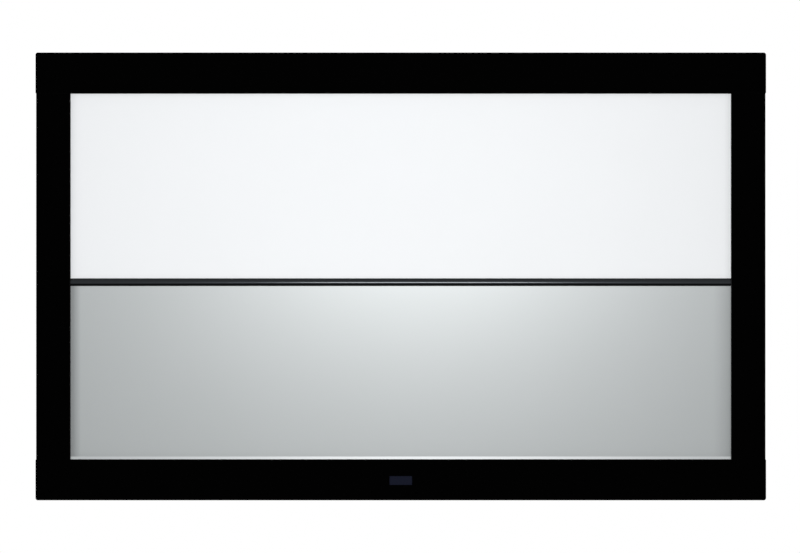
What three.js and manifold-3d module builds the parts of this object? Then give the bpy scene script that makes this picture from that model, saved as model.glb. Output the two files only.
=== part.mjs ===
// A fixed frame projector screen that hangs flat on a wall, with two stretched screen sheets, a white
// one over a grey one, and a black domed strip between them.
// Millimetres. +X is to the viewer's right, +Y runs back to the wall and +Z is up. The origin is the
// middle of the whole screen's box.

import * as THREE from "three";
import { mergeVertices } from "three/addons/utils/BufferGeometryUtils.js";
import Module from "manifold-3d";

// The opening in the frame, which is the picture that a viewer sees.
const openingWidth = 1600;
const openingHeight = 886;
const dividerZ = -13.9; // the middle of the strip between the sheets, from the opening's middle

// Frame rails: aluminium extrusions with a box tube along their outer edge.
const sideRailWidth = 82;
const endRailWidth = 98.5; // the top and bottom rails
const railDepth = 34;
const railWall = 2;
const railEdgeRadius = 1.5;
const boxWidth = 31;
const noseDepth = 11; // from the rail's front face back to the sheets
const flangeWidth = 14; // the lip at the back that the wall brackets hold
const ribOffset = 40; // the rib that the springs hook on, from the opening's edge
const guideGroove = 0.6; // depth of the groove that marks the screw line

// What lies against something else keeps this much clearance.
const gap = 0.3;

// Screen sheets, and the hem that holds a rod along each outer edge.
const sheetThickness = 0.5;
const rodRadius = 2;
const rodOffset = 16; // the rod's middle, from the opening's edge
const hemEnd = 2; // how far the sheet runs past the opening's corner
const hemInset = 1; // of a hem's end from the sheet's edge
const weldStart = 3; // the welded end of the hem's flap, from the opening's edge
const weldEnd = 7;
const windowStart = 9; // where the cut-out for a spring starts, from the opening's edge
const windowWidth = 14;

// Springs between the rods and the rails.
const springWireRadius = 0.6;
const springCoilRadius = 3.5;
const springCoilLength = 12;
const endSprings = 9; // along the top rail, and along the bottom rail
const sideSprings = 3; // beside each sheet
const ribHoleWidth = 4.4;

// The divider: a rail behind the sheets and a domed strip in front of them.
const coverWidth = 18.4;
const coverEdge = 1.2;
const coverRise = 5.2;
const tongueWidth = 3.4;
const tongueLength = 5;
const tongueChamfer = 1;
const neckWidth = 16;
const dividerHeight = 40;
const dividerRoom = 1.1; // from the side hems' backs to the divider's box
const beadRadius = 1.1; // the bead along each sheet's inner edge
const beadOffset = 5; // from the divider's middle
const beadStem = 0.8; // what joins the bead to the sheet

// Plates and screws on the back.
const plateThickness = 3;
const plateWidth = 26;
const plateCorner = 5; // what is cut off a plate's corners
const cornerLegAcross = 150;
const cornerLegDown = 200;
const cornerGusset = 30;
const cornerScrew = 60; // from the frame's outer side to the first screw in the end rail
const sideScrew = 23; // from the end of the side rail to the first screw in it
const legEndScrew = 15; // from a leg's end to the last screw
const joinPlateHeight = 36;
const joinPlateReach = 75; // how far it laps onto the divider
const joinScrewSpacing = 20; // between the two in the side rail
const dividerScrew = 25; // from the divider's end to the first screw in it
const screwRadius = 2;
const screwHeadRadius = 4.6;
const screwHeadHeight = 2.4;
const screwHeadLip = 0.9;
const screwLength = 9; // from the plate's outer face
const screwHoleRadius = 2.6;

// End caps on the top and bottom rails.
const capThickness = 6;
const capStand = 1.25; // how far a cap stands outside the side rail
const capEdge = 1; // what is cut off its edge beside the side rail
const plugLength = 14;
const plugWall = 2;

// What meets the wall.
const wallGap = 8; // from the rails' backs to the wall
const bracketLength = 140;
const bracketSpacing = 900;
const bracketSheet = 3;
const bracketHeight = 46; // from the bottom of its hook to its top edge
const lipHeight = 16;
const hookRoom = 3; // under the flange
const slotLength = 24;
const slotWidth = 7;
const slotSpacing = 90;
const slotDrop = 14; // from the bracket's top edge to the slots' middle
const bumperRadius = 12;
const bumperChamfer = 2;
const bumperInset = 262; // from the frame's side to a bumper's middle

// The badge, which is bare.
const badgeWidth = 55;
const badgeHeight = 22;
const badgeThickness = 1.2;
const badgeCorner = 1.5;
const badgeFilm = 0.2; // the adhesive film behind it
const badgeDrop = 1.25; // below the middle of the bottom rail

// Sizes that follow from those above.
const halfWidth = openingWidth / 2;
const halfHeight = openingHeight / 2;
const sideOuter = halfWidth + sideRailWidth;
const endOuter = halfHeight + endRailWidth;
const sheetFront = noseDepth + gap;
const sheetBack = sheetFront + sheetThickness;
const rodDepth = sheetBack + gap + rodRadius;
const hemRadius = rodRadius + gap; // inside the hem
const hemOuter = hemRadius + sheetThickness;
const ringRadius = rodRadius + gap + springWireRadius;
const ribTop = rodDepth + ringRadius - springWireRadius - gap;
const ribMiddle = ribOffset + railWall / 2;
const dividerLand = sheetBack + gap; // the front of the divider's neck
const dividerFront = rodDepth + hemOuter + dividerRoom; // the front of its box
const beadDepth = dividerLand + beadRadius;
const dividerReach = halfWidth + sideRailWidth - boxWidth - flangeWidth - gap;
const plateFront = railDepth + gap;
const wallPlane = railDepth + wallGap;
const screwLine = boxWidth / 2; // from a rail's outer edge
const endRailReach = sideOuter + capStand - capThickness; // from the middle to an end rail's end

const wasm = await Module();
wasm.setup();

// The black flocked rails, bare metal, plastics and the two sheet surfaces.
const colours = {
  flock: { color: 0x08080a, roughness: 0.95, metalness: 0 },
  anodised: { color: 0x17181a, roughness: 0.4, metalness: 0.6 },
  steel: { color: 0xb4b8bc, roughness: 0.35, metalness: 0.9 },
  zinc: { color: 0x9a9da0, roughness: 0.5, metalness: 0.8 },
  plastic: { color: 0x0d0d0e, roughness: 0.6, metalness: 0 },
  rubber: { color: 0x141414, roughness: 0.9, metalness: 0 },
  whiteSheet: { color: 0xf4f4f2, roughness: 0.8, metalness: 0 },
  greySheet: { color: 0xa9adac, roughness: 0.45, metalness: 0.2 },
  fibreglass: { color: 0xe6dfc8, roughness: 0.4, metalness: 0 },
  badge: { color: 0x1b2030, roughness: 0.35, metalness: 0.5 },
};

const over = 1; // how far a cutting shape runs past what it cuts
const grid = 1024; // steps to a millimetre

// A closed three.js geometry as a solid that can be joined and cut. Its points are rounded to a fine
// grid, so that faces that should lie in one plane do so exactly.
function solidOf(geometry, matrix = new THREE.Matrix4()) {
  const bare = geometry.clone().applyMatrix4(matrix);
  bare.deleteAttribute("normal");
  bare.deleteAttribute("uv");
  const merged = mergeVertices(bare, 1e-4);
  const vertProperties = merged.attributes.position.array.map((v) => Math.round(v * grid) / grid);
  const triVerts = new Uint32Array(merged.index.array);
  return new wasm.Manifold(new wasm.Mesh({ numProp: 3, vertProperties, triVerts }));
}

// A solid as a three.js geometry with flat faces.
function geometryOf(solid) {
  const mesh = solid.getMesh();
  const geometry = new THREE.BufferGeometry();
  geometry.setAttribute("position", new THREE.BufferAttribute(mesh.vertProperties, 3));
  geometry.setIndex(new THREE.BufferAttribute(mesh.triVerts, 1));
  const flat = geometry.toNonIndexed();
  flat.computeVertexNormals();
  return flat;
}

// A closed outline of [x, y] points made into a bar along Z, centred on z = 0.
function bar(outline, length) {
  const shape = new THREE.Shape(outline.map(([x, y]) => new THREE.Vector2(x, y)));
  const geometry = new THREE.ExtrudeGeometry(shape, { depth: length, bevelEnabled: false });
  return geometry.translate(0, 0, -length / 2);
}

function rectangle(x0, y0, x1, y1) {
  return [[x0, y0], [x1, y0], [x1, y1], [x0, y1]];
}

// Points on an arc, for use inside an outline. Angles are in degrees.
function arc(x, y, radiusX, radiusY, from, to, steps) {
  return Array.from({ length: steps + 1 }, (_, i) => {
    const angle = THREE.MathUtils.degToRad(from + ((to - from) * i) / steps);
    return [x + radiusX * Math.cos(angle), y + radiusY * Math.sin(angle)];
  });
}

// The outline of a strip of even thickness that follows a line of points.
function strip(line, thickness) {
  const points = line.map(([x, y]) => new THREE.Vector2(x, y));
  const side = (sign) =>
    points.map((point, i) => {
      const before = points[Math.max(i - 1, 0)];
      const after = points[Math.min(i + 1, points.length - 1)];
      const into = (i > 0 ? point.clone().sub(before) : after.clone().sub(point)).normalize();
      const out = (i < points.length - 1 ? after.clone().sub(point) : into).clone().normalize();
      const mitre = into.clone().add(out).normalize();
      const reach = (sign * thickness) / 2 / Math.max(mitre.dot(into), 0.3);
      return [point.x - mitre.y * reach, point.y + mitre.x * reach];
    });
  return [...side(-1), ...side(1).reverse()];
}

function box(x0, y0, z0, x1, y1, z1) {
  const geometry = new THREE.BoxGeometry(x1 - x0, y1 - y0, z1 - z0);
  return geometry.translate((x0 + x1) / 2, (y0 + y1) / 2, (z0 + z1) / 2);
}

// A mesh of one sub-part, named as its node.
function part(name, finish, geometry) {
  const mesh = new THREE.Mesh(geometry, new THREE.MeshStandardMaterial(colours[finish]));
  mesh.name = name;
  return mesh;
}

// The four sides of the opening. In each side's own frame +X points away from the opening, +Y runs
// back, and Z lies along the side, with z = 0 at its middle.
const axisX = new THREE.Vector3(1, 0, 0);
const axisY = new THREE.Vector3(0, 1, 0);
const axisZ = new THREE.Vector3(0, 0, 1);
function sideFrame(outward, distance) {
  const along = outward.clone().cross(axisY);
  return new THREE.Matrix4()
    .makeBasis(outward, axisY, along)
    .setPosition(outward.clone().multiplyScalar(distance));
}
const sides = {
  top: sideFrame(axisZ, halfHeight),
  bottom: sideFrame(axisZ.clone().negate(), halfHeight),
  left: sideFrame(axisX.clone().negate(), halfWidth),
  right: sideFrame(axisX, halfWidth),
};

// A frame for what runs along X: +X is up, +Y runs back and Z lies along it.
const lengthways = new THREE.Matrix4().makeBasis(axisZ, axisY, axisX.clone().negate());

// A frame for flat plates: their outline lies in X and Z, and their thickness runs back from a depth.
function plateFrame(depth, thickness) {
  return new THREE.Matrix4()
    .makeBasis(axisX, axisZ, axisY.clone().negate())
    .setPosition(0, depth + thickness / 2, 0);
}

function group(matrix, ...meshes) {
  const made = new THREE.Group();
  made.applyMatrix4(matrix);
  if (meshes.length) made.add(...meshes);
  return made;
}

// Springs sit in the middle of equal shares of each side of a sheet's window.
function shares(count, low, high) {
  return Array.from({ length: count }, (_, i) => low + ((i + 0.5) / count) * (high - low));
}
const sideHeights = [
  ...shares(sideSprings, dividerZ + coverWidth / 2, halfHeight),
  ...shares(sideSprings, -halfHeight, dividerZ - coverWidth / 2),
];
const springPlaces = {
  top: shares(endSprings, -halfWidth, halfWidth),
  bottom: shares(endSprings, -halfWidth, halfWidth),
  left: sideHeights.map((z) => -z), // this side's own Z points down
  right: sideHeights,
};

// The section of a rail: nose, front wall, spring rib, box tube and the flange at the back.
function railOutline(width) {
  const boxInner = width - boxWidth;
  const groove = width - screwLine;
  return [
    ...arc(railEdgeRadius, railEdgeRadius, railEdgeRadius, railEdgeRadius, 180, 270, 3),
    ...arc(width - railEdgeRadius, railEdgeRadius, railEdgeRadius, railEdgeRadius, 270, 360, 3),
    [width, railDepth],
    [groove + guideGroove, railDepth],
    [groove, railDepth - guideGroove],
    [groove - guideGroove, railDepth],
    [boxInner - flangeWidth, railDepth],
    [boxInner - flangeWidth, railDepth - railWall],
    [boxInner, railDepth - railWall],
    [boxInner, railWall],
    [ribOffset + railWall, railWall],
    [ribOffset + railWall, ribTop],
    [ribOffset, ribTop],
    [ribOffset, railWall],
    [railWall, railWall],
    [railWall, noseDepth],
    [0, noseDepth],
  ];
}

function boxHollow(width) {
  const inner = width - boxWidth + railWall;
  return rectangle(inner, railWall, width - railWall, railDepth - railWall);
}

// A rail in its side's frame, with a hole in the rib for each spring and one in its back for each screw.
function rail(width, length, springs, screws) {
  let solid = solidOf(bar(railOutline(width), length));
  solid = solid.subtract(solidOf(bar(boxHollow(width), length + 2 * over)));
  const wire = rodDepth - ringRadius; // where a spring's ring goes through the rib
  const room = springWireRadius + 2 * gap;
  const reach = ribHoleWidth / 2;
  for (const place of springs) {
    const hole = box(
      ribOffset - over, wire - room, place - reach,
      ribOffset + railWall + over, wire + room, place + reach,
    );
    solid = solid.subtract(solidOf(hole));
  }
  for (const [offset, place] of screws) solid = solid.subtract(screwHole(offset, place));
  return geometryOf(solid);
}

// A hole through the back wall of a rail or of the divider's box.
function screwHole(x, z) {
  const hole = new THREE.CylinderGeometry(screwHoleRadius, screwHoleRadius, railWall + 2 * over, 8);
  return solidOf(hole.translate(x, railDepth - railWall / 2, z));
}

// Screws through the back, measured along each leg of a corner plate and in the divider's plates.
const acrossScrews = [cornerLegAcross - legEndScrew, cornerScrew]; // from the frame's outer side
const downScrews = [cornerLegDown - legEndScrew, endRailWidth + sideScrew]; // from its outer end
const joinScrews = [joinPlateReach - legEndScrew, dividerScrew]; // on the divider, from its end

function endRailScrews() {
  const offset = endRailWidth - screwLine;
  return [-1, 1].flatMap((hand) =>
    acrossScrews.map((reach) => [offset, hand * (sideOuter - reach)]),
  );
}

// up is -1 on the left side, whose own Z points down.
function sideRailScrews(up) {
  const offset = sideRailWidth - screwLine;
  const corners = [-1, 1].flatMap((hand) =>
    downScrews.map((reach) => [offset, hand * (endOuter - reach)]),
  );
  const joins = [-1, 1].map((hand) => [offset, up * dividerZ + (hand * joinScrewSpacing) / 2]);
  return [...corners, ...joins];
}

function frameRails() {
  const sideLength = openingHeight - 2 * gap;
  const endRail = (side) => rail(endRailWidth, 2 * endRailReach, springPlaces[side], endRailScrews());
  const sideRail = (side, up) =>
    rail(sideRailWidth, sideLength, springPlaces[side], sideRailScrews(up));
  return [
    group(sides.top, part("top_rail", "flock", endRail("top"))),
    group(sides.bottom, part("bottom_rail", "flock", endRail("bottom"))),
    group(sides.left, part("left_rail", "flock", sideRail("left", -1))),
    group(sides.right, part("right_rail", "flock", sideRail("right", 1))),
  ];
}

// A moulded cap over a rail's open end, with a hollow plug in the rail's box tube. Its outer corner is a
// quarter circle. hand is the end of the rail that it closes, along the side's own Z.
function endCap(hand) {
  const corner = arc(endRailWidth - capThickness, 0, capThickness, capThickness, 90, 0, 8);
  const outline = [[0, 0], [0, capThickness - capEdge], [capEdge, capThickness], ...corner];
  const plate = bar(outline, railDepth).applyMatrix4(plateFrame(0, railDepth));
  const low = endRailWidth - boxWidth + railWall + gap;
  const high = endRailWidth - railWall - gap;
  const front = railWall + gap;
  const back = railDepth - railWall - gap;
  const plug = box(low, front, -plugLength, high, back, capThickness / 2);
  const hollow = box(
    low + plugWall, front + plugWall, -plugLength - over,
    high - plugWall, back - plugWall, capThickness - plugWall,
  );
  const solid = solidOf(plate).add(solidOf(plug)).subtract(solidOf(hollow));
  const placed = solid.translate([0, 0, endRailReach]);
  return geometryOf(hand > 0 ? placed : placed.mirror([0, 0, 1]));
}

function endCaps() {
  // The top side's own Z points left, and the bottom side's points right.
  return [
    group(
      sides.top,
      part("top_left_end_cap", "plastic", endCap(1)),
      part("top_right_end_cap", "plastic", endCap(-1)),
    ),
    group(
      sides.bottom,
      part("bottom_left_end_cap", "plastic", endCap(-1)),
      part("bottom_right_end_cap", "plastic", endCap(1)),
    ),
  ];
}

// The hem along a sheet's outer edge goes round the rod, and its flap is welded to the sheet's back.
function hem(length, middle) {
  const outline = [
    [weldStart, sheetFront],
    ...arc(rodOffset, rodDepth, hemOuter, hemOuter, -90, 90, 8),
    [weldEnd, sheetBack + sheetThickness],
    [weldStart, sheetBack + sheetThickness],
  ];
  const pocket = [
    [weldEnd + gap, sheetBack],
    ...arc(rodOffset, rodDepth, hemRadius, hemRadius, -90, 90, 8),
  ];
  const solid = solidOf(bar(outline, length)).subtract(solidOf(bar(pocket, length + 2 * over)));
  return geometryOf(solid.translate([0, 0, middle]));
}

// A sheet's edges beside the divider and past the end of its window. hand is 1 for the upper sheet
// and -1 for the lower.
function sheetEdges(hand) {
  return {
    inner: dividerZ + hand * (beadOffset - beadRadius),
    corner: hand * (halfHeight + hemEnd),
  };
}

// The length and the middle of the hems and rods down a sheet's flanks, and the length across its end.
function hemSpan(hand) {
  const { inner, corner } = sheetEdges(hand);
  return {
    down: Math.abs(corner - inner) - 2 * hemInset,
    middle: (inner + corner) / 2,
    across: 2 * (halfWidth + hemEnd - hemInset),
  };
}

// A flat piece of the sheet between two opposite corners.
function sheetPanel(x0, z0, x1, z1) {
  const outline = rectangle(x0, Math.min(z0, z1), x1, Math.max(z0, z1));
  return solidOf(bar(outline, sheetThickness), plateFrame(sheetFront, sheetThickness));
}

// A sheet hangs between the divider and one end rail.
function sheet(hand) {
  const end = hand > 0 ? "top" : "bottom";
  const { inner, corner } = sheetEdges(hand);
  const weld = (weldStart + weldEnd) / 2;
  const across = sheetPanel(-halfWidth - weld, inner, halfWidth + weld, corner);
  const down = sheetPanel(-halfWidth - hemEnd, inner, halfWidth + hemEnd, hand * (halfHeight + weld));
  let solid = across.add(down);

  // Hems along the end and both flanks, then the cut-outs that leave the rod bare for the springs.
  const span = hemSpan(hand);
  solid = solid.add(solidOf(hem(span.across, 0), sides[end]));
  solid = solid.add(solidOf(hem(span.down, -span.middle), sides.left));
  solid = solid.add(solidOf(hem(span.down, span.middle), sides.right));
  const reach = windowWidth / 2;
  for (const side of [end, "left", "right"]) {
    for (const place of springPlaces[side]) {
      const cut = box(windowStart, 0, place - reach, 2 * rodOffset, railDepth, place + reach);
      solid = solid.subtract(solidOf(cut, sides[side]));
    }
  }

  // The bead along the inner edge, which the divider's groove holds.
  const bead = bar(beadOutline(), openingWidth - 2 * hemInset).applyMatrix4(lengthways);
  bead.translate(0, 0, dividerZ + hand * beadOffset);
  return geometryOf(solid.add(solidOf(bead)));
}

// The bead's section, with a stem that reaches into the sheet.
function beadOutline() {
  const turn = THREE.MathUtils.radToDeg(Math.asin(beadStem / 2 / beadRadius));
  const top = sheetFront + sheetThickness / 2;
  return [
    [-beadStem / 2, top],
    [beadStem / 2, top],
    ...arc(0, beadDepth, beadRadius, beadRadius, -90 + turn, 270 - turn, 8),
  ];
}

function hemRods() {
  const rod = (name, length, middle) => {
    const geometry = new THREE.CylinderGeometry(rodRadius, rodRadius, length, 10);
    geometry.rotateX(Math.PI / 2).translate(rodOffset, rodDepth, middle);
    return part(name, "fibreglass", geometry);
  };
  const upper = hemSpan(1);
  const lower = hemSpan(-1);
  return [
    group(sides.top, rod("top_hem_rod", upper.across, 0)),
    group(sides.bottom, rod("bottom_hem_rod", lower.across, 0)),
    group(
      sides.left,
      rod("upper_left_hem_rod", upper.down, -upper.middle),
      rod("lower_left_hem_rod", lower.down, -lower.middle),
    ),
    group(
      sides.right,
      rod("upper_right_hem_rod", upper.down, upper.middle),
      rod("lower_right_hem_rod", lower.down, lower.middle),
    ),
  ];
}

// An extension spring: a coil with a ring at each end, one round the rod and one through the rib.
function springGeometry() {
  const middle = (rodOffset + ribMiddle) / 2;
  const coil = new THREE.CylinderGeometry(springCoilRadius, springCoilRadius, springCoilLength, 10)
    .rotateZ(Math.PI / 2)
    .translate(middle, rodDepth, 0);
  const stemLength = ribMiddle - rodOffset - 2 * ringRadius;
  const stem = new THREE.CylinderGeometry(springWireRadius, springWireRadius, stemLength, 6)
    .rotateZ(Math.PI / 2)
    .translate(middle, rodDepth, 0);
  let solid = solidOf(coil).add(solidOf(stem));
  for (const end of [rodOffset, ribMiddle]) {
    const ring = new THREE.TorusGeometry(ringRadius, springWireRadius, 4, 10).translate(end, rodDepth, 0);
    solid = solid.add(solidOf(ring));
  }
  return geometryOf(solid);
}

function springs() {
  const shared = springGeometry();
  return Object.entries(springPlaces).map(([side, places]) =>
    group(
      sides[side],
      ...places.map((place, i) => {
        const spring = part(`${side}_spring_${i + 1}`, "steel", shared);
        spring.position.z = place;
        return spring;
      }),
    ),
  );
}

const dividerFrame = lengthways.clone().setPosition(0, 0, dividerZ);

// A box tube behind the sheets, with a narrow neck that holds both beads and the cover's tongue.
function dividerRail() {
  const half = dividerHeight / 2;
  const groove = tongueWidth / 2 + gap;
  const beadIn = beadOffset - beadRadius - gap;
  const beadOut = beadOffset + beadRadius + gap;
  const beadFloor = dividerLand + 2 * beadRadius + gap;
  const neck = (hand) => [
    [hand * (neckWidth / 2), dividerFront],
    [hand * (neckWidth / 2), dividerLand],
    [hand * beadOut, dividerLand],
    [hand * beadOut, beadFloor],
    [hand * beadIn, beadFloor],
    [hand * beadIn, dividerLand],
    [hand * groove, dividerLand],
    [hand * groove, dividerFront],
  ];
  const outline = [
    [-half, dividerFront], ...neck(-1), ...neck(1).reverse(), [half, dividerFront],
    [half, railDepth], [-half, railDepth],
  ];
  const hollow = rectangle(
    -half + railWall, dividerFront + railWall, half - railWall, railDepth - railWall,
  );
  let solid = solidOf(bar(outline, 2 * dividerReach));
  solid = solid.subtract(solidOf(bar(hollow, 2 * dividerReach + 2 * over)));

  // The neck stops at the opening's edges, and the back takes the joining plates' screws.
  for (const hand of [-1, 1]) {
    const near = hand * (halfWidth - gap);
    const far = hand * (dividerReach + over);
    const trim = box(-half, 0, Math.min(near, far), half, dividerFront, Math.max(near, far));
    solid = solid.subtract(solidOf(trim));
    for (const reach of joinScrews) {
      solid = solid.subtract(screwHole(0, hand * (dividerReach - reach)));
    }
  }
  return group(dividerFrame, part("divider_rail", "anodised", geometryOf(solid)));
}

// The domed black strip that shows between the sheets, with the tongue that snaps into the divider.
function dividerCover() {
  const half = coverWidth / 2;
  const rise = coverRise - coverEdge;
  const shoulder = noseDepth - coverEdge;
  const radius = (half * half + rise * rise) / (2 * rise);
  const swing = THREE.MathUtils.radToDeg(Math.asin(half / radius));
  const tongue = tongueWidth / 2;
  const tip = noseDepth + tongueLength;
  const outline = [
    ...arc(0, shoulder - rise + radius, radius, radius, -90 - swing, -90 + swing, 14),
    [half, noseDepth],
    [tongue, noseDepth],
    [tongue, tip - tongueChamfer],
    [tongue - tongueChamfer, tip],
    [tongueChamfer - tongue, tip],
    [-tongue, tip - tongueChamfer],
    [-tongue, noseDepth],
    [-half, noseDepth],
  ];
  const geometry = bar(outline, openingWidth - 2 * gap);
  return group(dividerFrame, part("divider_cover", "anodised", geometry));
}

// A pan head and its shank, joined to the plate that the screw holds.
function screwSolid(x, z) {
  const back = plateFront + plateThickness;
  const shank = new THREE.CylinderGeometry(screwRadius, screwRadius, screwLength, 8);
  shank.translate(x, back - screwLength / 2, z);
  const dome = arc(0, screwHeadLip, screwHeadRadius, screwHeadHeight - screwHeadLip, 0, 90, 3);
  const profile = [[0, -screwHeadLip], [screwHeadRadius, -screwHeadLip], ...dome];
  const head = new THREE.LatheGeometry(profile.map(([x, y]) => new THREE.Vector2(x, y)), 12);
  head.translate(x, back, z);
  return solidOf(shank).add(solidOf(head));
}

function screwedPlate(outline, screws) {
  let solid = solidOf(bar(outline, plateThickness), plateFrame(plateFront, plateThickness));
  for (const [x, z] of screws) solid = solid.add(screwSolid(x, z));
  return geometryOf(solid);
}

// An L-shaped plate across a corner of the frame, with a gusset in its elbow.
function cornerPlate(right, up) {
  const inset = (boxWidth - plateWidth) / 2;
  const x0 = sideOuter - inset;
  const x1 = x0 - plateWidth;
  const x2 = sideOuter - cornerLegAcross;
  const z0 = endOuter - inset;
  const z1 = z0 - plateWidth;
  const z2 = endOuter - cornerLegDown;
  const cut = plateCorner;
  const quarter = [
    [x0, z0 - cut], [x0 - cut, z0],
    [x2 + cut, z0], [x2, z0 - cut], [x2, z1 + cut], [x2 + cut, z1],
    [x1 - cornerGusset, z1], [x1, z1 - cornerGusset],
    [x1, z2 + cut], [x1 + cut, z2], [x0 - cut, z2], [x0, z2 + cut],
  ].map(([x, z]) => [right * x, up * z]);
  const outline = right * up > 0 ? quarter : quarter.reverse();
  const screws = [
    ...acrossScrews.map((reach) => [right * (sideOuter - reach), up * (endOuter - screwLine)]),
    ...downScrews.map((reach) => [right * (sideOuter - screwLine), up * (endOuter - reach)]),
  ];
  return screwedPlate(outline, screws);
}

function cornerPlates() {
  return [
    part("top_left_corner_plate", "zinc", cornerPlate(-1, 1)),
    part("top_right_corner_plate", "zinc", cornerPlate(1, 1)),
    part("bottom_left_corner_plate", "zinc", cornerPlate(-1, -1)),
    part("bottom_right_corner_plate", "zinc", cornerPlate(1, -1)),
  ];
}

// A straight plate that ties an end of the divider to a side rail.
function joinPlate(right) {
  const inset = (boxWidth - plateWidth) / 2;
  const x0 = sideOuter - inset;
  const x1 = dividerReach - joinPlateReach;
  const half = joinPlateHeight / 2;
  const cut = plateCorner;
  const plate = [
    [x0, half - cut], [x0 - cut, half], [x1 + cut, half], [x1, half - cut],
    [x1, cut - half], [x1 + cut, -half], [x0 - cut, -half], [x0, cut - half],
  ].map(([x, z]) => [right * x, dividerZ + z]);
  const outline = right > 0 ? plate : plate.reverse();
  const screws = [
    [right * (sideOuter - screwLine), dividerZ - joinScrewSpacing / 2],
    [right * (sideOuter - screwLine), dividerZ + joinScrewSpacing / 2],
    ...joinScrews.map((reach) => [right * (dividerReach - reach), dividerZ]),
  ];
  return screwedPlate(outline, screws);
}

function joinPlates() {
  return [
    part("left_divider_plate", "zinc", joinPlate(-1)),
    part("right_divider_plate", "zinc", joinPlate(1)),
  ];
}

// A stadium outline along X, for the slots in the wall brackets.
function stadium(length, width) {
  const radius = width / 2;
  const reach = length / 2 - radius;
  return [...arc(reach, 0, radius, radius, -90, 90, 6), ...arc(-reach, 0, radius, radius, 90, 270, 6)];
}

// A bent hook that is screwed to the wall. Its lip goes up in front of the top rail's flange, and the
// rail's box tube rests on the lip.
function wallBracket(x) {
  const boxBottom = halfHeight + endRailWidth - boxWidth;
  const flangeBottom = boxBottom - flangeWidth;
  const middle = bracketSheet / 2;
  const floor = flangeBottom - hookRoom - middle;
  const lip = railDepth - railWall - gap - middle;
  const riser = plateFront + middle;
  const wall = wallPlane - middle;
  const top = floor - middle + bracketHeight;
  const line = [
    [boxBottom - gap, lip],
    [floor, lip],
    [floor, riser],
    [floor + lipHeight, riser],
    [floor + lipHeight + (wall - riser), wall],
    [top, wall],
  ];
  let solid = solidOf(bar(strip(line, bracketSheet), bracketLength), lengthways);
  for (const hand of [-1, 1]) {
    const through = bracketSheet + 2 * over;
    const slot = bar(stadium(slotLength, slotWidth), through);
    slot.applyMatrix4(plateFrame(wall - through / 2, through));
    slot.translate((hand * slotSpacing) / 2, 0, top - slotDrop);
    solid = solid.subtract(solidOf(slot));
  }
  return geometryOf(solid.translate([x, 0, 0]));
}

function wallBrackets() {
  return [
    part("left_wall_bracket", "zinc", wallBracket(-bracketSpacing / 2)),
    part("right_wall_bracket", "zinc", wallBracket(bracketSpacing / 2)),
  ];
}

// Rubber bumpers on the bottom rail's back, which keep the screen upright on the wall.
function bumpers() {
  const height = wallGap - gap;
  const profile = [
    [0, 0],
    [bumperRadius, 0],
    [bumperRadius, height - bumperChamfer],
    [bumperRadius - bumperChamfer, height],
    [0, height],
  ].map(([x, y]) => new THREE.Vector2(x, y));
  return ["left", "right"].map((name, i) => {
    const bumper = part(`${name}_wall_bumper`, "rubber", new THREE.LatheGeometry(profile, 20));
    const hand = i === 0 ? -1 : 1;
    bumper.position.set(hand * (sideOuter - bumperInset), plateFront, -endOuter + screwLine);
    return bumper;
  });
}

// A bare plate stuck to the middle of the bottom rail.
function badge() {
  const x = badgeWidth / 2 - badgeCorner;
  const z = badgeHeight / 2 - badgeCorner;
  const corner = (x, z, from) => arc(x, z, badgeCorner, badgeCorner, from, from + 90, 3);
  const outline = [
    ...corner(x, -z, -90), ...corner(x, z, 0), ...corner(-x, z, 90), ...corner(-x, -z, 180),
  ];
  const geometry = bar(outline, badgeThickness);
  geometry.applyMatrix4(plateFrame(-badgeFilm - badgeThickness, badgeThickness));
  const mesh = part("badge_plate", "badge", geometry);
  mesh.position.z = -halfHeight - endRailWidth / 2 - badgeDrop;
  return mesh;
}

// Everything is placed by its depth behind the rails' front faces, and then moved back by half of
// the screen's whole depth, from the badge's face to the wall.
const frontmost = -(badgeFilm + badgeThickness);
const screen = new THREE.Group();
const assembly = new THREE.Group();
assembly.position.y = -(frontmost + wallPlane) / 2;
assembly.add(
  ...frameRails(),
  ...endCaps(),
  ...cornerPlates(),
  part("upper_screen_sheet", "whiteSheet", sheet(1)),
  part("lower_screen_sheet", "greySheet", sheet(-1)),
  ...hemRods(),
  ...springs(),
  dividerRail(),
  dividerCover(),
  ...joinPlates(),
  ...wallBrackets(),
  ...bumpers(),
  badge(),
);
screen.add(assembly);

export default screen;
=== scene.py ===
"""A fixed frame projector screen: a black flocked frame, a white sheet stretched over a grey one, and a
domed strip between them, with the springs, rods, plates and hooks that hold it together on the back.

The frame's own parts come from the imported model. The operators below give them their finishes, and make
the pieces that are finer than those parts: the sheets with their hems, the wound springs, the rods, the
screw heads, the strip, the bumpers and the badge. +X is to the viewer's right, +Y runs back to the wall
and +Z is up, in metres."""

import math

import bpy
from bpy.props import FloatProperty, FloatVectorProperty, IntProperty, PointerProperty
from mathutils import Matrix, Vector
from mathutils.geometry import tessellate_polygon


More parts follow.
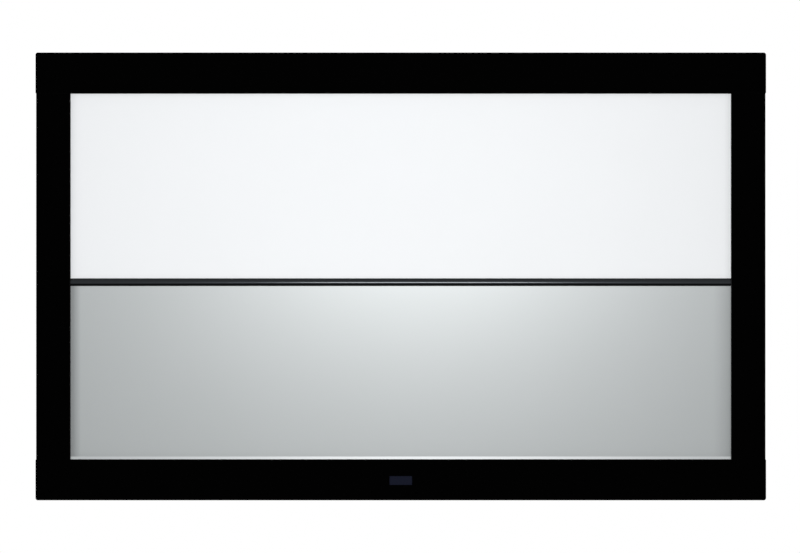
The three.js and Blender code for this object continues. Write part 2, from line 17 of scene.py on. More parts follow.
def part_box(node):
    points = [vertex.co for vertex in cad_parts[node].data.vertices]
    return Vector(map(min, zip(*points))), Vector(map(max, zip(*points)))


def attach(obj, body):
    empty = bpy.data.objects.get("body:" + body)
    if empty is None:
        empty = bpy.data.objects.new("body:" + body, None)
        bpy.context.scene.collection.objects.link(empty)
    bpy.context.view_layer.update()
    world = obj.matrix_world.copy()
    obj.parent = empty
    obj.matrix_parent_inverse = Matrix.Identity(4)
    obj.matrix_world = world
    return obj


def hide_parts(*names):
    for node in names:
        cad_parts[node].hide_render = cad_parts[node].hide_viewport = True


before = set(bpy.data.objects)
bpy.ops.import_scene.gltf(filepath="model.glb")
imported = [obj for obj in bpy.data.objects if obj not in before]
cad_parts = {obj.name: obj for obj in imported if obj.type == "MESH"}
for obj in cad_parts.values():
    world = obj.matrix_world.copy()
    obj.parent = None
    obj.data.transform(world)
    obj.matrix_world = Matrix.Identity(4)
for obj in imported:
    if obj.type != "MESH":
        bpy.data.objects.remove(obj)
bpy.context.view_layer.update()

bl_info = {
    "name": "Fixed Frame Projector Screen",
    "version": (1, 0, 0),
    "blender": (4, 5, 0),
    "location": "3D View > Sidebar > Screen",
    "description": "Finishes and fine pieces for a wall-hung projector screen with two picture sheets",
    "category": "Object",
}

MM = 0.001  # metres in a millimetre

# The kinds of node that the finishes are mostly made of.
MATH = "ShaderNodeMath"
VECTOR_MATH = "ShaderNodeVectorMath"
SEPARATE = "ShaderNodeSeparateXYZ"
NOISE = "ShaderNodeTexNoise"
RANGE = "ShaderNodeMapRange"
MIX = "ShaderNodeMix"
MIX_SHADER = "ShaderNodeMixShader"
BUMP = "ShaderNodeBump"
SHADER = "ShaderNodeBsdfPrincipled"
OUTPUT = "ShaderNodeOutputMaterial"

# Where the frame's own parts lie.
RAIL_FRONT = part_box("left_rail")[0].y
RAIL_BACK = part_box("left_rail")[1].y
OPEN_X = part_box("right_rail")[0].x
OPEN_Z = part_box("top_rail")[0].z
OUTER_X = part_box("right_rail")[1].x
OUTER_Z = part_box("top_rail")[1].z
DIVIDER_Z = sum(corner.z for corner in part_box("divider_cover")) / 2
ROD_Y = sum(corner.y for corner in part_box("top_hem_rod")) / 2
PLAIN_HEAD = 2.4 * MM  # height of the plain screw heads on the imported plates
PLATE_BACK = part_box("left_divider_plate")[1].y - PLAIN_HEAD

# The sheets: their faces' depths behind the rails' fronts, and their hems measured out from the opening.
SHEET_MIDDLE = RAIL_FRONT + 11.55 * MM
ROD_OFFSET = 16 * MM
HEM_TURN = 2.55 * MM  # from the rod's middle to the middle of the sheet round it
HEM_START = 2 * MM
HEM_MIDWAY = 6 * MM  # a line of the mesh between the hem's start and the windows
HEM_INSET = 1 * MM
WELD_START = 3 * MM
WELD_MIDWAY = 5 * MM  # a line of the mesh within the weld
WELD_END = 7.3 * MM
WINDOW_START = 9 * MM
ROD_START = 13 * MM  # the last line before the sheet turns round the rod
WINDOW_HALF = 7 * MM
WINDOW_CORNER = 3 * MM
WINDOW_LINES = (-7, -6.6, -5.8, -4, -2, 0, 2, 4, 5.8, 6.6, 7)  # mm from a window's middle

# The bead along a sheet's inner edge, and the stem that joins it to the sheet.
BEAD_OFFSET = 5 * MM  # from the divider's middle
BEAD_RADIUS = 1.1 * MM
BEAD_MIDDLE = SHEET_MIDDLE + 0.55 * MM + BEAD_RADIUS
BEAD_STEM = 0.4 * MM  # half its width
STEM_FRONT = SHEET_MIDDLE + 0.2 * MM

# The felts in the joints between the rails.
FELT_HALF = 0.13 * MM
FELT_FRONT = RAIL_FRONT + 0.6 * MM
FELT_BACK = RAIL_FRONT + 10.8 * MM
FELT_INSET = 0.6 * MM  # from each side of a side rail

# The springs, about their own middles.
RING_RADIUS = 2.9 * MM
RING_OFFSET = 12.5 * MM
COIL_HALF = 6 * MM
RING_START = 35  # degrees round a ring, from where the coil is
RING_END = 335
SWING_STEPS = 7  # in the wire's swing from a ring to the coil
TURN_STEPS = 18  # in each turn of the coil
LEAVE_PULL = 7 * MM  # how strongly the swing keeps to the ring's direction at its start
ENTER_PULL = 6 * MM  # and to the coil's at its end

# The domed strip: its shoulders, its upper slope, and the tongue behind it.
STRIP_BACK = RAIL_FRONT + 11 * MM
DIVIDER_EDGE = 0.3 * MM  # broken edges of the rail behind it
STRIP_EDGE = 1.2 * MM
UPPER_STEPS = 32
UPPER_SPREAD = 1.5  # crowds the upper slope's points near the crest
UPPER_CURVE = 1.7  # 1 is a straight slope
TONGUE_HALF = 1.7 * MM
TONGUE_CHAMFER = 1 * MM

# The screws on the back, from the frame's outer sides and the divider's ends.
SCREW_LINE = 15.5 * MM
SCREWS_ACROSS = (60 * MM, 135 * MM)
SCREWS_DOWN = (121.5 * MM, 185 * MM)
DIVIDER_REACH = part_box("divider_rail")[1].x
SCREWS_DIVIDER = (25 * MM, 60 * MM)
SCREW_PAIR = 10 * MM  # from the divider's middle, in the side rails

# A screw's pan head, as (radius, height) rings, and the cross in it, all in millimetres.
SCREW_RINGS = ((4.8, 0.02), (4.8, 1.0), (4.6, 1.7), (4.0, 2.35), (3.1, 2.8), (2.6, 2.9))
SCREW_STEPS = 24
CROSS_ARM = 2.1
CROSS_HALF = 0.5
CROSS_FLOOR = 2.45
CROSS_TAPER = 0.85  # the floor's share of the mouth's width

# The bumpers: their rims' radius, and the ring in their faces as (in from the side, down from the face)
# points in millimetres.
BUMPER_RIM = 2 * MM
BUMPER_RING = ((4, 0), (4.4, 0.6), (5.2, 0.6), (5.6, 0))

# The stage, in metres from the frame's middle.
SENSOR = 36  # millimetres across the camera's film
CAMERA_X = -1.9 * MM
CAMERA_Z = -0.2 * MM
FRONT_LAMP = (0.074, -3.064, 0.569)
FRONT_TARGET = (-0.424, 0, -0.093)
FRONT_SIZE = (0.95, 0.6)
REAR_LAMP = (1.8, 3.0, 1.6)
REAR_TARGET = 0.45  # how far to its own side a rear lamp aims
REAR_SIZE = (1.6, 1.6)
FLOOR_RADIUS = 2.5
FLOOR_FADE = (0.4, 2.4)


def linear(code):
    """The linear red, green, blue and alpha of an sRGB hex colour."""
    shares = [int(code[i : i + 2], 16) / 255 for i in (1, 3, 5)]
    bright = [s / 12.92 if s <= 0.04045 else ((s + 0.055) / 1.055) ** 2.4 for s in shares]
    return (*bright, 1.0)


def colour(name, description, code):
    """A colour that the user can change, from an sRGB hex value."""
    settings = {"subtype": "COLOR", "size": 4, "min": 0, "max": 1, "default": linear(code)}
    return FloatVectorProperty(name=name, description=description, **settings)


def length(name, description, millimetres, most=10000):
    """A length that the user can change, kept in metres."""
    settings = {"unit": "LENGTH", "default": millimetres * MM, "min": 0, "max": most * MM, "precision": 5}
    return FloatProperty(name=name, description=description, **settings)


class ScreenSizes(bpy.types.PropertyGroup):
    """Sizes of the fine pieces and of the finishes' own details."""

    sheet_thickness: length("Sheet thickness", "Thickness of the vinyl sheets", 0.5, 2)
    wire: length("Spring wire", "Thickness of the springs' wire", 1.2, 2)
    turns: IntProperty(name="Spring turns", description="Whole turns of a coil", default=6, min=2, max=9)
    edge: length("Softened edge", "Width that the plates' sharp edges are broken by", 0.4, 1)
    wrap: length("Flock margin", "How far the flock reaches onto the rails' backs", 6, 15)
    # Partly painted highlight: the height of the strip along the grey sheet's bottom, whose colour is painted
    # paler than the sheet's.
    highlight_strip: length("Pale strip", "Height of the bare strip along the grey sheet's bottom", 6.5, 20)
    # Painted shade: the widths of the darker, duller bands painted along the grey sheet's left and right
    # sides, next to the rails' lips.
    left_shade_band: length("Left margin", "Width of the thin coat at the grey sheet's left side", 24, 60)
    right_shade_band: length("Right margin", "Width of the thin coat at the grey sheet's right side", 42, 60)
    # Painted shade: the width of the darker band painted along each side of the white sheet, next to the
    # rails' lips.
    white_side_shade: length("White margin", "Width of the darker band at each side of the white sheet", 16, 60)
    crest_drop: length("Crest drop", "From the strip's middle down to its crest", 1.7, 6)
    # Painted shade: how far below the strip's middle its painted matt near-black lower side starts.
    shade_edge: length("Matt edge", "Where the strip's matt coat starts, below its middle", 3.9, 8)


class ScreenColours(bpy.types.PropertyGroup):
    """Colours of the finishes."""

    flock: colour("Flock", "Nylon fibres on the rails", "#010101")
    flock_tip: colour("Flock tips", "Where the fibres' ends catch the light", "#030303")
    anodised: colour("Anodised rails", "The rails' bare insides and backs", "#25272A")
    strip: colour("Strip", "The domed strip between the sheets", "#181B1E")
    # Painted shade: the near-black of the strip's lower side, which faces away from the light.
    shaded_flank: colour("Strip's flank", "The matt lower side of the strip", "#040505")
    white: colour("White sheet", "The matt white vinyl", "#F2F4F6")
    white_back: colour("White sheet's back", "The uncoated back of the white vinyl", "#DDDFDF")
    grey: colour("Grey sheet", "The pearly grey vinyl", "#9A9E9F")
    grey_back: colour("Grey sheet's back", "The uncoated back of the grey vinyl", "#8E9291")
    rod: colour("Rods", "Drawn fibreglass", "#DDD5BC")
    spring: colour("Springs", "Nickelled wire", "#C9C6C0")
    zinc: colour("Zinc", "Zinc plating on the plates and hooks", "#A0A5AA")
    plastic: colour("End caps", "Moulded black plastic", "#070708")
    rubber: colour("Bumpers", "Moulded black rubber", "#161616")
    badge: colour("Badge", "Dark blue anodised plate", "#11131D")


class StudioSizes(bpy.types.PropertyGroup):
    """The camera, lamps and floor round the screen."""

    distance: length("Camera distance", "From the camera to the rails' fronts", 5000, 20000)
    width: length("View width", "Width that the camera sees at the rails' fronts", 1934.4, 9000)
    key_power: FloatProperty(name="Front lamp", description="Its power", default=71, unit="POWER")
    rear_power: FloatProperty(name="Rear lamps", description="Power of each", default=45, unit="POWER")
    fill: FloatProperty(name="Fill", description="Light from all round", default=0.25, min=0, max=1)
    floor_drop: length("Floor", "From the bottom of the frame down to the floor", 1000, 3000)


def add_node(tree, kind, inputs=None, **settings):
    """Adds a node with its settings, and fills its inputs with values or links. A node that is given as an
    input is linked from its first output."""
    node = tree.nodes.new(kind)
    place = len(tree.nodes) - 1
    node.location = (240 * (place % 7), -320 * (place // 7))
    for name, value in settings.items():
        setattr(node, name, value)
    for name, value in (inputs or {}).items():
        if isinstance(value, bpy.types.Node):
            value = value.outputs[0]
        if isinstance(value, bpy.types.NodeSocket):
            tree.links.new(value, node.inputs[name])
        else:
            node.inputs[name].default_value = value
    return node


def new_material(name):
    """A material whose node tree holds only each point's place on its object: in metres, and in millimetres
    for patterns."""
    material = bpy.data.materials.new(name)
    material.use_nodes = True
    tree = material.node_tree
    tree.nodes.clear()
    place = add_node(tree, "ShaderNodeTexCoord").outputs["Object"]
    fine = add_node(tree, VECTOR_MATH, {0: place, "Scale": 1 / MM}, operation="SCALE")
    return material, tree, place, fine


def tinted(tone, *shares):
    """A colour with its channels multiplied by one share, or by a share each."""
    factors = shares * 3 if len(shares) == 1 else shares
    return (*(min(channel * factor, 1) for channel, factor in zip(tone, factors)), 1.0)


def colours():
    return bpy.context.scene.screen_colours


def sizes():
    return bpy.context.scene.screen_sizes


def patterned(name, spacing, detail, tones, settings, rough=None, relief=None, stretch=None, spread=None):
    """A material with one pattern, whose features lie that many millimetres apart. The pattern goes from the
    first tone to the second. Where they are given, rough is how much it roughens the surface and from what,
    relief is its height in millimetres and its strength, stretch draws it out along the axes, and spread
    narrows the levels between which the tones change."""
    material, tree, _, fine = new_material(name)
    if stretch:
        fine = add_node(tree, VECTOR_MATH, {0: fine, 1: stretch}, operation="MULTIPLY")
    pattern = add_node(tree, NOISE, {"Vector": fine, "Scale": 1 / spacing, "Detail": detail})
    share = pattern
    if spread:
        share = add_node(tree, RANGE, {"Value": pattern, "From Min": spread[0], "From Max": spread[1]})
    tone = add_node(tree, MIX, {0: share, 6: tones[0], 7: tones[1]}, data_type="RGBA")
    surface = {"Base Color": tone.outputs[2], **settings}
    if rough:
        levels = {0: pattern, 1: rough[0], 2: rough[1]}
        surface["Roughness"] = add_node(tree, MATH, levels, operation="MULTIPLY_ADD")
    if relief:
        height = {"Height": pattern, "Distance": relief[0] * MM, "Strength": relief[1]}
        surface["Normal"] = add_node(tree, BUMP, height)
    add_node(tree, OUTPUT, {"Surface": add_node(tree, SHADER, surface)})
    return material


def nylon_flock(tree, fine):
    """Short nylon fibres that stand on end and swallow almost all light. They are half a millimetre long, and
    their clumps are drawn at 3 mm, so that they show from close up."""
    clumps = add_node(tree, NOISE, {"Vector": fine, "Scale": 1 / 3, "Detail": 5.0})
    tones = {0: clumps, 6: colours().flock, 7: colours().flock_tip}
    fibres = add_node(tree, MIX, tones, data_type="RGBA").outputs[2]
    relief = add_node(tree, BUMP, {"Height": clumps, "Distance": 0.4 * MM, "Strength": 0.7})
    nap = {"Specular IOR Level": 0.0, "Sheen Weight": 0.04, "Sheen Roughness": 0.35, "Normal": relief}
    return add_node(tree, SHADER, {"Base Color": fibres, "Roughness": 0.95, **nap})


def anodised_metal(tree, section):
    """Black anodised aluminium, with a dull metal shine and straight lines from the die. The lines are 0.3 mm
    apart in the extrusion's section, and are drawn at 0.6 mm."""
    lines = add_node(tree, NOISE, {"Vector": section, "Scale": 1 / 0.6, "Detail": 2.0})
    rough = add_node(tree, MATH, {0: lines, 1: 0.24, 2: 0.28}, operation="MULTIPLY_ADD")
    relief = add_node(tree, BUMP, {"Height": lines, "Distance": 0.02 * MM, "Strength": 0.5})
    skin = {"Metallic": 1.0, "Roughness": rough, "Normal": relief}
    return add_node(tree, SHADER, {"Base Color": colours().anodised, **skin})


def flocked_extrusion():
    """Flock covers the rails' fronts, lips and outer sides. The rest of the extrusion is anodised, and its
    lines run the whole length of a rail."""
    material, tree, place, fine = new_material("nylon_flock_on_anodised_extrusion")
    point = add_node(tree, SEPARATE, {0: place}).outputs
    across = add_node(tree, MATH, {0: point["X"]}, operation="ABSOLUTE")
    up = add_node(tree, MATH, {0: point["Z"]}, operation="ABSOLUTE")
    from_side = add_node(tree, MATH, {0: OUTER_X, 1: across}, operation="SUBTRACT")
    from_end = add_node(tree, MATH, {0: OUTER_Z, 1: up}, operation="SUBTRACT")
    from_outer = add_node(tree, MATH, {0: from_side, 1: from_end}, operation="MINIMUM")
    past_side = add_node(tree, MATH, {0: across, 1: OPEN_X}, operation="SUBTRACT")
    past_end = add_node(tree, MATH, {0: up, 1: OPEN_Z}, operation="SUBTRACT")
    from_opening = add_node(tree, MATH, {0: past_side, 1: past_end}, operation="MAXIMUM")

    # The flock's edge on the rails' backs wanders by about a millimetre, as a masked edge does.
    wander = add_node(tree, NOISE, {"Vector": fine, "Scale": 1 / 9, "Detail": 3.0})
    edge = add_node(tree, MATH, {0: wander, 1: 1.6 * MM, 2: from_outer}, operation="MULTIPLY_ADD")
    on_front = add_node(tree, MATH, {0: point["Y"], 1: RAIL_FRONT + 1.2 * MM}, operation="LESS_THAN")
    on_lip = add_node(tree, MATH, {0: from_opening, 1: 0.2 * MM}, operation="LESS_THAN")
    on_edge = add_node(tree, MATH, {0: edge, 1: sizes().wrap}, operation="LESS_THAN")
    flocked = add_node(tree, MATH, {0: on_front, 1: on_lip}, operation="MAXIMUM")
    flocked = add_node(tree, MATH, {0: flocked, 1: on_edge}, operation="MAXIMUM")

    section = add_node(tree, "ShaderNodeCombineXYZ", {"X": from_outer, "Y": point["Y"]})
    section = add_node(tree, VECTOR_MATH, {0: section, "Scale": 1 / MM}, operation="SCALE")
    metal = anodised_metal(tree, section)
    both = add_node(tree, MIX_SHADER, {0: flocked, 1: metal, 2: nylon_flock(tree, fine)})
    add_node(tree, OUTPUT, {"Surface": both})
    return material


def joint_felt():
    """Pressed black felt in the joints between the rails, as dark as the flock beside it. Its curled wool is
    drawn at 0.8 mm."""
    tones = (colours().flock, colours().flock_tip)
    matt = {"Roughness": 1.0, "Specular IOR Level": 0.0}
    return patterned("pressed_black_felt", 0.8, 5.0, tones, matt, relief=(0.1, 0.6))


def anodised_divider():
    """The divider's rail is the same black anodised extrusion as the rails, and its lines run along X."""
    material, tree, _, fine = new_material("black_anodised_extruded_aluminium")
    section = add_node(tree, VECTOR_MATH, {0: fine, 1: (0, 1, 1)}, operation="MULTIPLY")
    add_node(tree, OUTPUT, {"Surface": anodised_metal(tree, section)})
    return material


def satin_strip():
    """The strip is bead blasted before it is anodised, so it shows one soft bright streak opposite a lamp,
    which the clear sealed skin of the anodising whitens. Its lower side is painted matt near-black, as
    painted shade for the side that faces down, away from the light. The blasting's 0.1 mm dimples are drawn
    at 0.5 mm."""
    material, tree, place, fine = new_material("bead_blasted_black_anodised_strip")
    height = add_node(tree, SEPARATE, {0: place}).outputs["Z"]
    # Painted shade: below this height the strip is a matt near-black shader, standing in for its lower side
    # facing away from the light.
    low = DIVIDER_Z - sizes().shade_edge
    below = {"Value": height, "From Min": low - 1 * MM, "From Max": low + 1 * MM, "To Min": 1, "To Max": 0}
    painted_shade = add_node(tree, RANGE, below)
    dimples = add_node(tree, NOISE, {"Vector": fine, "Scale": 1 / 0.5, "Detail": 3.0})
    rough = add_node(tree, MATH, {0: dimples, 1: 0.06, 2: 0.24}, operation="MULTIPLY_ADD")
    relief = add_node(tree, BUMP, {"Height": dimples, "Distance": 0.01 * MM, "Strength": 0.3})
    skin = {"Metallic": 1.0, "Coat Weight": 0.3, "Coat Roughness": 0.15, "Normal": relief}
    satin = add_node(tree, SHADER, {"Base Color": colours().strip, "Roughness": rough, **skin})
    paint = {"Base Color": colours().shaded_flank, "Roughness": 0.9, "Specular IOR Level": 0.05}
    both = add_node(tree, MIX_SHADER, {0: painted_shade, 1: satin, 2: add_node(tree, SHADER, paint)})
    add_node(tree, OUTPUT, {"Surface": both})
    return material


def white_vinyl():
    """Matt white PVC, calendered between a polished and a finely embossed roller. The emboss breaks up every
    reflection, so the sheet looks evenly white from any side. Its 0.3 mm pattern is drawn at 0.8 mm. Along
    both sides its colour is painted darker, as painted shade from the rails' lips beside the sheet."""
    material, tree, place, fine = new_material("matt_white_embossed_vinyl")
    side = add_node(tree, SEPARATE, {0: place}).outputs["X"]
    across = add_node(tree, MATH, {0: side}, operation="ABSOLUTE")
    # Painted shade: the sheet's colour darkens towards both sides, where the rails' lips shade it.
    side_shade_range = {"Value": across, "From Min": OPEN_X - sizes().white_side_shade, "From Max": OPEN_X}
    margin = add_node(tree, RANGE, side_shade_range)
    emboss = add_node(tree, NOISE, {"Vector": fine, "Scale": 1 / 0.8, "Detail": 2.0})
    drift = add_node(tree, NOISE, {"Vector": fine, "Scale": 1 / 180, "Detail": 1.0})
    white = colours().white
    field = add_node(tree, MIX, {0: drift, 6: white, 7: tinted(white, 0.985)}, data_type="RGBA")
    tones = {0: margin, 6: field.outputs[2], 7: tinted(white, 0.92)}
    coat = add_node(tree, MIX, tones, data_type="RGBA").outputs[2]
    relief = add_node(tree, BUMP, {"Height": emboss, "Distance": 0.02 * MM, "Strength": 0.4})
    matt = {"Roughness": 0.75, "Specular IOR Level": 0.3, "Normal": relief}
    add_node(tree, OUTPUT, {"Surface": add_node(tree, SHADER, {"Base Color": coat, **matt})})
    return material


def grey_vinyl():
    """Grey PVC with mica pearl in its top coat. The flakes lie almost flat and shine like dull metal, which
    throws a broad soft glow back towards a lamp. Towards both sides it is painted darker and duller, as
    painted shade from the rails' lips. Along the bottom edge a strip slopes forward and catches more of the
    lamp, and its colour is painted paler as well, as a painted highlight. The flakes are 0.05 mm wide, and
    their clusters are drawn at 0.7 mm."""
    material, tree, place, fine = new_material("pearl_coated_grey_vinyl")
    point = add_node(tree, SEPARATE, {0: place}).outputs
    side = point["X"]
    # Painted shade: towards both sides the pearl coat gives way to a darker, duller shader, standing in for
    # the shade of the rails' lips.
    inner = sizes().left_shade_band - OPEN_X
    fading = {"Value": side, "From Min": 5 * MM - OPEN_X, "From Max": inner, "To Min": 1, "To Max": 0}
    left = add_node(tree, RANGE, fading)
    inner = OPEN_X - sizes().right_shade_band
    fading = {"Value": side, "From Min": inner, "From Max": OPEN_X, "To Min": 0, "To Max": 0.55}
    right = add_node(tree, RANGE, fading)
    thin = add_node(tree, MATH, {0: left, 1: right}, operation="MAXIMUM")

    flakes = add_node(tree, NOISE, {"Vector": fine, "Scale": 1 / 0.7, "Detail": 3.0})
    drift = add_node(tree, NOISE, {"Vector": fine, "Scale": 1 / 240, "Detail": 1.0})
    grey = colours().grey
    tones = {0: drift, 6: grey, 7: tinted(grey, 0.975, 0.98, 0.975)}
    mica = add_node(tree, MIX, tones, data_type="RGBA").outputs[2]
    rough = add_node(tree, MATH, {0: flakes, 1: 0.06, 2: 0.375}, operation="MULTIPLY_ADD")
    relief = add_node(tree, BUMP, {"Height": flakes, "Distance": 0.01 * MM, "Strength": 0.3})
    coat = {"Metallic": 0.25, "Roughness": rough, "Specular IOR Level": 0.95, "Normal": relief}
    pearl = add_node(tree, SHADER, {"Base Color": mica, **coat})
    # The darker, duller shader of the painted side shade.
    uncoated = {"Base Color": tinted(grey, 0.7), "Roughness": 0.5, "Specular IOR Level": 0.5}
    panel = add_node(tree, MIX_SHADER, {0: thin, 1: pearl, 2: add_node(tree, SHADER, uncoated)})

    # The strip comes forward by a fifth of its height, so it faces a little upward; its colour is painted
    # paler than the sheet's, a painted highlight.
    top = sizes().highlight_strip - OPEN_Z
    rising = {"Value": point["Z"], "From Min": -OPEN_Z, "From Max": top, "To Min": 1, "To Max": 0}
    slope = add_node(tree, RANGE, rising)
    relief = add_node(tree, BUMP, {"Height": slope, "Distance": sizes().highlight_strip / 5})
    smooth = {"Metallic": 0.1, "Roughness": 0.42, "Specular IOR Level": 0.9, "Normal": relief}
    # Painted highlight: the strip's colour is a quarter paler than the sheet's; its forward slope also
    # catches the lamp for real.
    strip = add_node(tree, SHADER, {"Base Color": tinted(grey, 1.25), **smooth})
    bare = add_node(tree, MATH, {0: point["Z"], 1: top}, operation="LESS_THAN")
    both = add_node(tree, MIX_SHADER, {0: bare, 1: panel, 2: strip})
    add_node(tree, OUTPUT, {"Surface": both})
    return material


def vinyl_back(name, tone):
    """The smooth uncoated back of the vinyl, duller than its face. The welding wheel leaves ribs 1.5 mm apart
    where the hems' flaps are welded on, and the rollers leave a faint orange peel."""
    material, tree, place, fine = new_material(name)
    point = add_node(tree, SEPARATE, {0: place}).outputs
    middle = (WELD_START + WELD_END) / 2
    reach = (WELD_END - WELD_START) / 2
    bands = []
    for axis, opening in (("X", OPEN_X), ("Z", OPEN_Z)):
        distance = add_node(tree, MATH, {0: point[axis]}, operation="ABSOLUTE")
        bands.append(add_node(tree, MATH, {0: distance, 1: opening + middle, 2: reach}, operation="COMPARE"))
    band = add_node(tree, MATH, {0: bands[0], 1: bands[1]}, operation="MAXIMUM")
    along = add_node(tree, MATH, {0: point["X"], 1: point["Z"]}, operation="ADD")
    half_rib = 0.75 * MM
    ribs = add_node(tree, MATH, {0: along, 1: half_rib}, operation="PINGPONG")
    ribs = add_node(tree, MATH, {0: ribs, 1: half_rib}, operation="DIVIDE")
    welded = add_node(tree, MATH, {0: band, 1: ribs}, operation="MULTIPLY")
    rolled = add_node(tree, NOISE, {"Vector": fine, "Scale": 1 / 1.5, "Detail": 2.0})
    height = add_node(tree, MATH, {0: rolled, 1: 0.1, 2: welded}, operation="MULTIPLY_ADD")
    patches = add_node(tree, NOISE, {"Vector": fine, "Scale": 1 / 60, "Detail": 2.0})
    dull = add_node(tree, MIX, {0: patches, 6: tone, 7: tinted(tone, 0.94)}, data_type="RGBA").outputs[2]
    relief = add_node(tree, BUMP, {"Height": height, "Distance": 0.25 * MM, "Strength": 0.6})
    smooth = {"Roughness": 0.55, "Specular IOR Level": 0.4, "Normal": relief}
    add_node(tree, OUTPUT, {"Surface": add_node(tree, SHADER, {"Base Color": dull, **smooth})})
    return material


def drawn_fibreglass():
    """Glass strands in clear resin, pulled through a die: cream, with fine streaks along the rod and a
    slight shine from the resin. The strands' 0.1 mm bundles are drawn at 0.4 mm."""
    tones = (colours().rod, tinted(colours().rod, 0.78))
    resin = {"Roughness": 0.32, "IOR": 1.55}
    along = (1, 1, 1 / 120)
    return patterned("drawn_fibreglass_rod", 0.4, 3.0, tones, resin, relief=(0.03, 0.5), stretch=along)


def nickelled_wire():
    """Spring wire, nickelled after winding: bright and slightly warm, and duller in patches of 2 mm, where
    the turns shaded each other in the plating bath."""
    tones = (colours().spring, tinted(colours().spring, 0.75))
    return patterned("nickelled_spring_wire", 2, 3.0, tones, {"Metallic": 1.0}, rough=(0.3, 0.12))


def plated_zinc():
    """Cold rolled steel, barrel plated with zinc and dipped in a clear blue passivate. It is grey with faint
    cloudy patches of blue and straw, 14 mm across, and tumbling leaves it evenly satin."""
    material, tree, _, fine = new_material("barrel_plated_zinc_on_steel")
    clouds = add_node(tree, NOISE, {"Vector": fine, "Scale": 1 / 14, "Detail": 3.0})
    share = add_node(tree, RANGE, {"Value": clouds, "From Min": 0.35, "From Max": 0.65})
    tumbled = add_node(tree, NOISE, {"Vector": fine, "Scale": 1 / 0.9, "Detail": 3.0})
    blue = tinted(colours().zinc, 0.86, 0.93, 1)
    straw = tinted(colours().zinc, 0.98, 0.93, 0.82)
    passivate = add_node(tree, MIX, {0: share, 6: blue, 7: straw}, data_type="RGBA").outputs[2]
    rough = add_node(tree, MATH, {0: tumbled, 1: 0.28, 2: 0.27}, operation="MULTIPLY_ADD")
    relief = add_node(tree, BUMP, {"Height": tumbled, "Distance": 0.03 * MM, "Strength": 0.5})
    satin = {"Metallic": 1.0, "Roughness": rough, "Normal": relief}
    add_node(tree, OUTPUT, {"Surface": add_node(tree, SHADER, {"Base Color": passivate, **satin})})
    return material


def moulded_plastic():
    """Black ABS from a spark-eroded mould, whose 0.2 mm texture makes it matt. It is drawn at 0.6 mm. The
    caps are flocked like the rails, except on their backs and inside."""
    material, tree, place, fine = new_material("flocked_spark_textured_abs")
    point = add_node(tree, SEPARATE, {0: place}).outputs
    bare = add_node(tree, MATH, {0: point["Y"], 1: RAIL_BACK - 1.5 * MM}, operation="GREATER_THAN")
    texture = add_node(tree, NOISE, {"Vector": fine, "Scale": 1 / 0.6, "Detail": 2.0})
    relief = add_node(tree, BUMP, {"Height": texture, "Distance": 0.05 * MM, "Strength": 0.6})
    matt = {"Roughness": 0.6, "IOR": 1.54, "Specular IOR Level": 0.12, "Normal": relief}
    shell = add_node(tree, SHADER, {"Base Color": colours().plastic, **matt})
    both = add_node(tree, MIX_SHADER, {0: bare, 1: nylon_flock(tree, fine), 2: shell})
    add_node(tree, OUTPUT, {"Surface": both})
    return material


def moulded_rubber():
    """Compression moulded rubber: charcoal and matt, with a faint pale bloom in patches of 3 mm."""
    tones = (colours().rubber, tinted(colours().rubber, 2.2))
    matt = {"Roughness": 0.8, "Specular IOR Level": 0.3}
    bloom = (0.4, 0.8)
    return patterned("compression_moulded_rubber", 3, 4.0, tones, matt, relief=(0.05, 0.4), spread=bloom)


def brushed_badge():
    """Aluminium brushed along its length and anodised dark blue, so it glints in streaks from the side. The
    0.05 mm scratches are drawn at 0.25 mm."""
    name = "brushed_blue_anodised_aluminium"
    tones = (colours().badge, tinted(colours().badge, 0.7))
    metal = {"Metallic": 1.0}
    along = (1 / 80, 1, 1)
    return patterned(name, 0.25, 3.0, tones, metal, rough=(0.24, 0.32), relief=(0.01, 0.4), stretch=along)


def finish_nodes(names, material, soften=0):
    """Gives the frame's own parts a material, and breaks their sharp edges by that width."""
    for name in names:
        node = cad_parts[name]
        for slot in node.material_slots:
            slot.material = material
        if soften:
            bevel = node.modifiers.new("broken edges", "BEVEL")
            bevel.width = soften
            bevel.segments = 2
            bevel.limit_method = "ANGLE"
            bevel.angle_limit = math.radians(40)


def new_piece(name, points, faces, material, replaces=(), angle=35, placed=None):
    """A piece made of points in metres, smooth except where its faces meet at more than that angle. It is
    put in place, rides with the frame, and stands for the parts that it replaces."""
    mesh = bpy.data.meshes.new(name)
    mesh.from_pydata([tuple(point) for point in points], [], faces)
    mesh.validate()
    return piece_of(name, mesh, material, replaces, angle, placed)


def piece_of(name, mesh, material, replaces=(), angle=35, placed=None):
    """A piece made of a mesh, finished and put in place as new_piece says."""
    if not mesh.materials:
        mesh.materials.append(material)
    mesh.shade_smooth()
    mesh.set_sharp_from_angle(angle=math.radians(angle))
    piece = bpy.data.objects.new(name, mesh)
    bpy.context.scene.collection.objects.link(piece)
    if placed is not None:
        piece.matrix_world = placed
    bpy.context.view_layer.update()
    if replaces:
        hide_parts(*replaces)
    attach(piece, "root")
    return piece


def arc(x, y, radius, start, end, steps):
    """Points on an arc, with its angles in degrees."""
    angles = [math.radians(start + (end - start) * i / steps) for i in range(steps + 1)]
    return [(x + radius * math.cos(angle), y + radius * math.sin(angle)) for angle in angles]


def ring_faces(rings, count, first=0):
    """Faces between rings of that many points each, which start at that point."""
    faces = []
    for ring in range(rings - 1):
        for i in range(count):
            a = first + ring * count + i
            b = first + ring * count + (i + 1) % count
            faces.append((a, b, b + count, a + count))
    return faces


def drawn(outline, half_length):
    """Points and faces of a closed outline of (z, y) points, drawn out along X."""
    count = len(outline)
    points = [(x, y, z) for x in (-half_length, half_length) for z, y in outline]
    return points, [*ring_faces(2, count), tuple(reversed(range(count))), tuple(range(count, 2 * count))]


